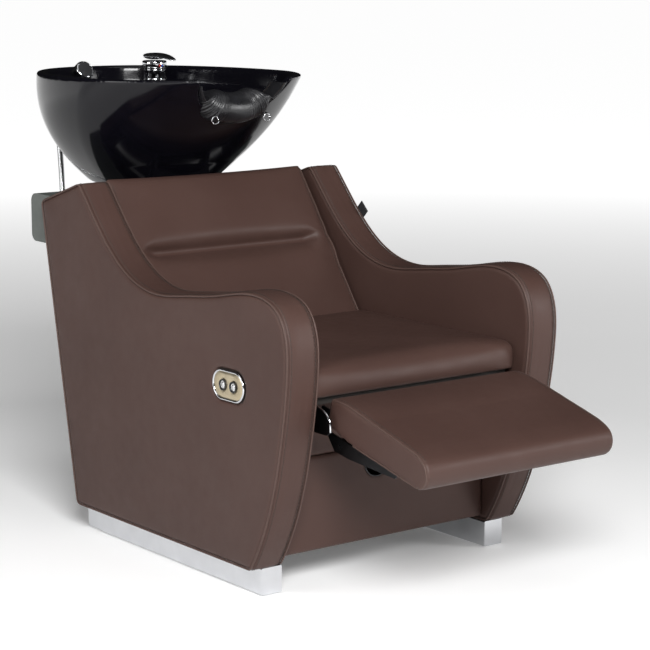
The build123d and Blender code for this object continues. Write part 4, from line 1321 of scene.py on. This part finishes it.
def surface_net(field, low, high, cell):
    """A closed quad mesh of the surface where field(points) is 0."""
    axes = [np.arange(a, b + cell, cell) for a, b in zip(low, high)]
    grid = np.stack(np.meshgrid(*axes, indexing="ij"), -1)
    values = field(grid.reshape(-1, 3)).reshape(grid.shape[:3])
    cells = tuple(count - 1 for count in values.shape)
    sums, hits, found = np.zeros((*cells, 3)), np.zeros(cells), []
    for axis in range(3):
        lower = np.take(values, range(values.shape[axis] - 1), axis)
        upper = np.take(values, range(1, values.shape[axis]), axis)
        edge = np.argwhere((lower < 0) != (upper < 0))
        a, b = lower[tuple(edge.T)], upper[tuple(edge.T)]
        crossing = np.stack([axes[d][edge[:, d]] for d in range(3)], 1)
        crossing[:, axis] += a / (a - b) * cell
        u, v = ((1, 2), (2, 0), (0, 1))[axis]
        around = []
        for du, dv in ((0, 0), (1, 0), (1, 1), (0, 1)):
            corner = edge.copy()
            corner[:, u] -= du
            corner[:, v] -= dv
            np.add.at(sums, tuple(corner.T), crossing)
            np.add.at(hits, tuple(corner.T), 1)
            around.append(corner)
        found.append((around, a < 0))
    used = hits > 0
    index = np.full(cells, -1)
    index[used] = np.arange(used.sum())
    points = sums[used] / hits[used][:, None]
    faces = []
    for around, rising in found:
        ids = np.stack([index[tuple(corner.T)] for corner in around], 1)
        faces += [tuple(q if up else q[::-1]) for q, up in zip(ids.tolist(), rising)]
    for _ in range(5):
        value = field(points)
        slope = np.stack([(field(points + 0.2 * axis) - field(points - 0.2 * axis)) / 0.4
                          for axis in np.eye(3)], 1)
        step = -value / np.maximum((slope ** 2).sum(1), 0.05)
        points = points + np.clip(step, -0.5 * cell, 0.5 * cell)[:, None] * slope
    return points, faces


def basin():
    low, high = datum_box("bowl")
    cell = 6.0 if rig.quick() else 4.0
    points, faces = surface_net(bowl_field, low - 9.3, high + 9.3, cell)
    bowl = add_piece("bowl_glazed", "bowl", "black_glaze", points, faces)
    relax(bowl, 2)
    apply_modifiers(bowl)
    subdivide(bowl)
    apply_modifiers(bowl)
    shade_smooth(bowl.data)
    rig.replaces(bowl, "bowl")


# ---------------------------------------------------------------- neck rest

def saddle_path(turn, lift):
    """A point of the neck cut-out's curve at an angle from its lowest point, raised off it."""
    half, depth = SADDLE_HALF - lift, SADDLE_DEPTH - lift
    return half * sin(turn), SADDLE_CENTRE_Z - depth * cos(turn)


def neck_rest():
    """A fat gel roll lying in the neck cut-out, with a flat tab rising to each tip of the rim."""
    low, high = datum_box("neck_rest")
    centre_y = (low[1] + high[1]) / 2
    count, roll_end, tab_end = 36, 0.86, 1.31
    rows = []
    for turn in np.linspace(-tab_end, tab_end, 220):
        side = abs(turn)
        body = np.sqrt(np.clip(1 - (side / roll_end) ** 6, 0, 1))
        tab = np.clip((side - roll_end + 0.10) / 0.14, 0, 1)
        thick = 3.0 + 31.0 * body
        wide = 31.0 + 7.0 * body
        pleats = np.exp(-((side - 0.58) / 0.20) ** 2) * body
        crease = 2.0 * pleats * sin(side * 122 + 1.3 * sin(side * 31))
        x, z = saddle_path(turn, 0.8 + 0.86 * thick * (1 - body) + 16.0 * body)
        x_low, z_low = saddle_path(turn, 0.8)
        away = np.array((x - x_low, 0.0, z - z_low))
        away /= max(np.linalg.norm(away), 1e-6)
        y = centre_y + 4.0 - 18.0 * tab * (side - roll_end + 0.10) / (tab_end - roll_end)
        row = []
        for k in range(count):
            angle = 2 * pi * k / count
            wobble = 0.6 * noise.noise(Vector((cos(angle) * 1.2, sin(angle) * 1.2, turn * 9)))
            lift = (thick + crease + wobble * body) * sin(angle)
            spread = (wide + crease) * np.sign(cos(angle)) * abs(cos(angle)) ** (1 - 0.2 * tab)
            row.append(np.array((x, y + spread, z)) + away * lift)
        rows.append(row)
    vertices = np.array(rows).reshape(-1, 3)
    roll_piece = add_piece("neck_rest_roll", "bowl", "neck_gel", vertices, capped_faces(len(rows), count))
    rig.replaces(roll_piece, "neck_rest")
    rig.padded(roll_piece, 0.8)
    tree = surface_of(roll_piece)
    for side, label in SIDES:
        for edge in (-1, 1):
            border = []
            for turn in np.linspace(roll_end + 0.08, tab_end - 0.04, 16):
                x, z = saddle_path(side * turn, 8.0)
                y = centre_y + 2.0 - 18.0 * (turn - roll_end + 0.10) / (tab_end - roll_end)
                border.append((x, y + edge * 25.0, z))
            add_piece(f"neck_tab_{label}_{'front' if edge < 0 else 'rear'}_stitches", "bowl", "neck_gel",
                      *stitches(on_surface(tree, border, 0.2), pitch=6.0, length=4.0, radius=0.55),
                      materials=[THREAD])
        collar = []
        for k in range(48):
            angle = 2 * pi * k / 48
            x, z = saddle_path(side * (roll_end + 0.015), 9.0 + 12.0 * sin(angle))
            collar.append((x, centre_y + 2.0 + 36.0 * np.sign(cos(angle)) * abs(cos(angle)) ** 0.8, z))
        collar = on_surface(tree, collar, 0.3)
        add_piece(f"neck_roll_binding_{label}", "bowl", "neck_gel", *tube(collar, 1.5, closed=True))
    rings()


def rings():
    """The two wire loops that hold the neck rest's front corners."""
    ring_low, ring_high = datum_box("neck_rest_rings")
    parts = []
    for side in (-1, 1):
        centre = np.array((side * 68.0, (ring_low[1] + ring_high[1]) / 2 + 18.0, ring_low[2] - 8.0))
        turns = np.linspace(0, 2 * pi, 40, endpoint=False)
        loop = [centre + (8.5 * cos(t), 1.5 * sin(2 * t), 8.5 * sin(t)) for t in turns]
        parts.append(tube(loop, 1.1, closed=True, sides=10))
        parts.append(tube([centre + (7, 2, 5), centre + (9, 8, 7), centre + (9, 16, 9)], 1.6, sides=10))
    piece = add_piece("neck_rest_wire_rings", "bowl", "chrome", *join(parts))
    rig.replaces(piece, "neck_rest_rings")


# ---------------------------------------------------------------- tap and spray

def tap():
    body_low = datum_box("tap_body")[0]
    cap_low, cap_high = datum_box("tap_cap")
    x, y = (cap_low[0] + cap_high[0]) / 2, (cap_low[1] + cap_high[1]) / 2
    deck = RIM_Z - DECK_DROP
    radius = (cap_high[0] - cap_low[0]) / 2
    corners = [(0.5, body_low[2] - deck), (16, body_low[2] - deck), (16, 0.2), (33, 0.2), (33, 5.0),
               (30.0, 7.0), (27.8, 10.0), (27.8, 19.0), (29.0, 20.5), (29.0, 23.0), (27.8, 24.5),
               (27.8, 41.0), (28.8, 43.0), (28.8, 46.8), (0.5, 46.8)]
    body = add_piece("tap_barrel", "bowl", "chrome",
                     *lathe((x, y, deck), (0, 0, 1), rounded_profile(corners, 1.6), 72))
    sharpen(body, 50)
    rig.replaces(body, "tap_body")
    cap_corners = [(0.5, 0.3), (radius, 0.3), (radius, 3.2), (radius - 0.8, 4.0), (radius - 0.8, 5.0),
                   (radius, 5.8), (radius, 16.4), (radius - 2.5, 19.2), (0.5, 19.8)]
    cap = add_piece("tap_cap_turned", "tap_cap", "chrome",
                    *lathe((x, y, cap_low[2]), (0, 0, 1), rounded_profile(cap_corners, 1.8), 72))
    sharpen(cap, 50)
    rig.replaces(cap, "tap_cap")
    for name, offset, material in (("hot", 3.6, RED_ENAMEL), ("cold", -3.6, BLUE_ENAMEL)):
        turn = radians(-90) - offset / radius
        axis = (cos(turn), sin(turn), 0.0)
        place = (x + (radius - 1.0) * axis[0], y + (radius - 1.0) * axis[1], cap_low[2] + 8.0)
        profile = rounded_profile([(0.3, 0.0), (2.4, 0.0), (2.4, 1.5), (0.3, 1.9)], 0.6)
        add_piece(f"tap_{name}_mark", "tap_cap", "chrome", *lathe(place, axis, profile, 24),
                  materials=[material])
    lever(x, y)


def lever(x, y):
    """A lever as broad as the cap, which it covers, narrowing to a thin blade that reaches forward."""
    top = datum_box("tap_lever")[1][2]
    spine = [(18.0, top - 6.5, 16.0, 2.5), (16.0, top - 6.0, 22.0, 4.5), (8.0, top - 7.0, 27.0, 6.5),
             (0.0, top - 8.4, 28.0, 8.2), (-14.0, top - 8.0, 27.0, 7.8), (-28.0, top - 7.2, 24.0, 5.8),
             (-44.0, top - 7.6, 19.5, 3.8), (-60.0, top - 10.0, 15.5, 3.0), (-74.0, top - 13.0, 12.0, 2.4),
             (-82.0, top - 15.0, 8.0, 1.7), (-84.5, top - 15.6, 3.0, 0.8)]
    spine = np.array(spine)
    fine = np.linspace(0, len(spine) - 1, 60)
    spine = np.stack([np.interp(fine, np.arange(len(spine)), spine[:, k]) for k in range(4)], 1)
    spine = smooth_path(spine, 14)
    count, rows = 32, []
    for k, (dy, z, half, thick) in enumerate(spine):
        before, after = spine[max(k - 1, 0)], spine[min(k + 1, len(spine) - 1)]
        along = np.array((0.0, after[0] - before[0], after[1] - before[1]))
        along /= np.linalg.norm(along)
        up = np.cross((1.0, 0.0, 0.0), along)
        up = -up if up[2] < 0 else up
        centre = np.array((x, y + dy, z))
        for j in range(count):
            turn = 2 * pi * j / count
            across = np.sign(cos(turn)) * abs(cos(turn)) ** 0.75 * half
            lift = np.sign(sin(turn)) * abs(sin(turn)) ** 0.9 * thick - 0.10 * thick * (across / half) ** 2
            rows.append(centre + np.array((across, 0, 0)) + up * lift)
    blade = add_piece("tap_lever_blade", "tap_lever", "chrome", rows, capped_faces(len(spine), count))
    voxel_skin(blade, 0.9)
    relax(blade, 12)
    apply_modifiers(blade)
    shade_smooth(blade.data)
    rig.replaces(blade, "tap_lever")


SPRAY_X, SPRAY_Y, SPRAY_LEAN, BELL_LEAN = -110.0, 1040.0, radians(30.0), radians(60.0)


def spray_axis(along):
    return SPRAY_X, SPRAY_Y - along * sin(SPRAY_LEAN), RIM_Z - DECK_DROP + along * cos(SPRAY_LEAN)


def spray_head():
    """A straight neck in the holder, an elbow, and a fluted bell that leans further forward."""
    neck_axis = (0.0, -sin(SPRAY_LEAN), cos(SPRAY_LEAN))
    axis = (0.0, -sin(BELL_LEAN), cos(BELL_LEAN))
    elbow = spray_axis(22)
    neck = rounded_profile([(0.5, -30), (9.6, -30), (9.6, 9.4), (11.4, 10.4), (11.4, 14.0), (10.2, 16.0),
                            (10.8, 22.0), (0.5, 22.0)], 1.2)
    turns = np.linspace(-0.5 * pi, 0.5 * pi, 15)
    ball = [(max(0.5, 11.8 * cos(turn)), 11.8 * sin(turn)) for turn in turns]
    corners = [(0.5, -2.0), (10.8, -2.0), (12.0, 3.0), (13.6, 8.0), (15.6, 10.0), (17.4, 14.0), (17.4, 17.0),
               (16.6, 18.2), (18.0, 19.4), (19.6, 30.0), (19.2, 31.4), (20.8, 32.8), (22.0, 48.0),
               (21.4, 49.4), (22.4, 50.8), (22.4, 66.0), (21.0, 70.0), (18.4, 71.4), (18.0, 69.6), (0.5, 69.6)]
    bell = lathe(elbow, axis, rounded_profile(corners, 1.3), 96, 18, 1.1, (19.6, 48.2))
    parts = [lathe(spray_axis(0), neck_axis, neck, 64), lathe(elbow, neck_axis, ball, 64), bell]
    head = add_piece("spray_head_ribbed", "spray_head", "chrome", *join(parts))
    sharpen(head, 55)
    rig.replaces(head, "spray_head")
    side, other, along = axis_frame(axis)
    face_centre = np.array(elbow) + 69.5 * along
    disc = rounded_profile([(0.4, 0.0), (17.6, 0.0), (17.6, 1.4), (0.4, 2.0)], 0.8)
    add_piece("spray_face", "spray_head", "black_plastic", *lathe(face_centre, axis, disc, 64))
    jets = []
    for ring_radius, number in ((0.0, 1), (4.6, 7), (9.2, 13), (13.8, 20)):
        for k in range(number):
            turn = 2 * pi * k / number
            place = face_centre + along * 1.2 + ring_radius * (cos(turn) * side + sin(turn) * other)
            jets.append(lathe(place, axis, [(1.1, 0.0), (1.1, 1.2), (0.8, 1.9), (0.35, 2.1)], 10))
    add_piece("spray_jets", "spray_head", "black_rubber", *join(jets))


# ---------------------------------------------------------------- small pieces

def pivot_edges():
    """A bright chrome rod along the front edge of each steel pivot plate: a painted highlight on that edge, which is
    not a part of its own.
    """
    corners = [(-40, 383), (-66, 384.5), (-91, 389), (-109, 385.5), (-125, 378.5), (-133, 372), (-137.5, 363),
               (-137.5, 345)]
    inner_face, edge_radius = 248.0, 2.4
    middle = (datum_box("legrest_pivot_plates")[1][0] + inner_face) / 2
    for side, label in SIDES:
        line = smooth_path(resample([(side * middle, y, z) for y, z in corners], 3.0, closed=False), 8)
        add_piece(f"pivot_plate_edge_highlight_{label}", "root", "chrome", *tube(line, edge_radius, sides=12))


def side_tag():
    """A folded woven tab caught in the outer welt of the far arm."""
    x = datum_points(NODES["side_tag"].data)[:, 0].mean()
    outline = outline_of("arm_inner_cover_right", 1)[0]
    nearest = np.argmin(np.hypot(outline[:, 0] - 521, outline[:, 1] - 660))
    edge_point = outline[nearest]
    along = outline[(nearest + 1) % len(outline)] - outline[nearest - 1]
    along /= np.linalg.norm(along)
    out = np.array((along[1], -along[0]))
    width, reach, sheet = 30.0, 22.0, 0.55
    rows = []
    for s in np.linspace(-1, 1, 33):
        t = abs(s)
        bend = 1.0 * np.sqrt(max(0.0, 1 - t ** 6)) + 0.25
        distance = -3.0 + (reach + 3.0) * (1 - t) ** 0.85
        rows.append((x + np.sign(s) * bend if t else x, distance))
    vertices = []
    for face_offset in (-0.5, 0.5):
        for k, (row_x, distance) in enumerate(rows):
            before, after = rows[max(k - 1, 0)], rows[min(k + 1, len(rows) - 1)]
            tangent = np.array((after[0] - before[0], after[1] - before[1]))
            tangent /= max(np.linalg.norm(tangent), 1e-6)
            normal = np.array((tangent[1], -tangent[0]))
            for across in np.linspace(-0.5, 0.5, 9):
                reach_out = distance + face_offset * sheet * normal[1]
                spot = edge_point + along * across * width + out * reach_out
                vertices.append((row_x + face_offset * sheet * normal[0], *spot))
    rows_count, columns = len(rows), 9
    shift = rows_count * columns
    faces = grid_faces(rows_count, columns, close_columns=False)
    faces += [tuple(i + shift for i in face[::-1]) for face in faces]
    rim = list(range(columns)) + [r * columns + columns - 1 for r in range(1, rows_count)]
    rim += [(rows_count - 1) * columns + c for c in range(columns - 2, -1, -1)]
    rim += [r * columns for r in range(rows_count - 2, 0, -1)]
    faces += [(a, b, b + shift, a + shift) for a, b in zip(rim, rim[1:] + rim[:1])]
    tab = add_piece("side_tag_folded", "root", "tag_fabric", vertices, faces)
    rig.replaces(tab, "side_tag")


def soften_edges():
    """Smooth shading on the CAD pieces that stay, with their real edges kept sharp."""
    replaced = {name for piece in bpy.data.objects for name in piece.get("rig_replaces", [])}
    for name, node in NODES.items():
        if name not in replaced:
            shade_smooth(node.data)
            sharpen(node, 30)


camera()
studio()
spray_hose()
for arm_side, arm_name in SIDES:
    arm(arm_side, arm_name)
hand_control()
seat_cushion()
backrest()
leg_rest()
front_panels()
rear_panel_piece("rear_panel", 3.0, 1.0, "rear_panel_padded")
basin()
neck_rest()
tap()
spray_head()
side_tag()
pivot_edges()
soften_edges()

json.dump({"cad": CAD_BOX, "visual": [list(corner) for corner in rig.bounds()]}, open("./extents.json", "w"))
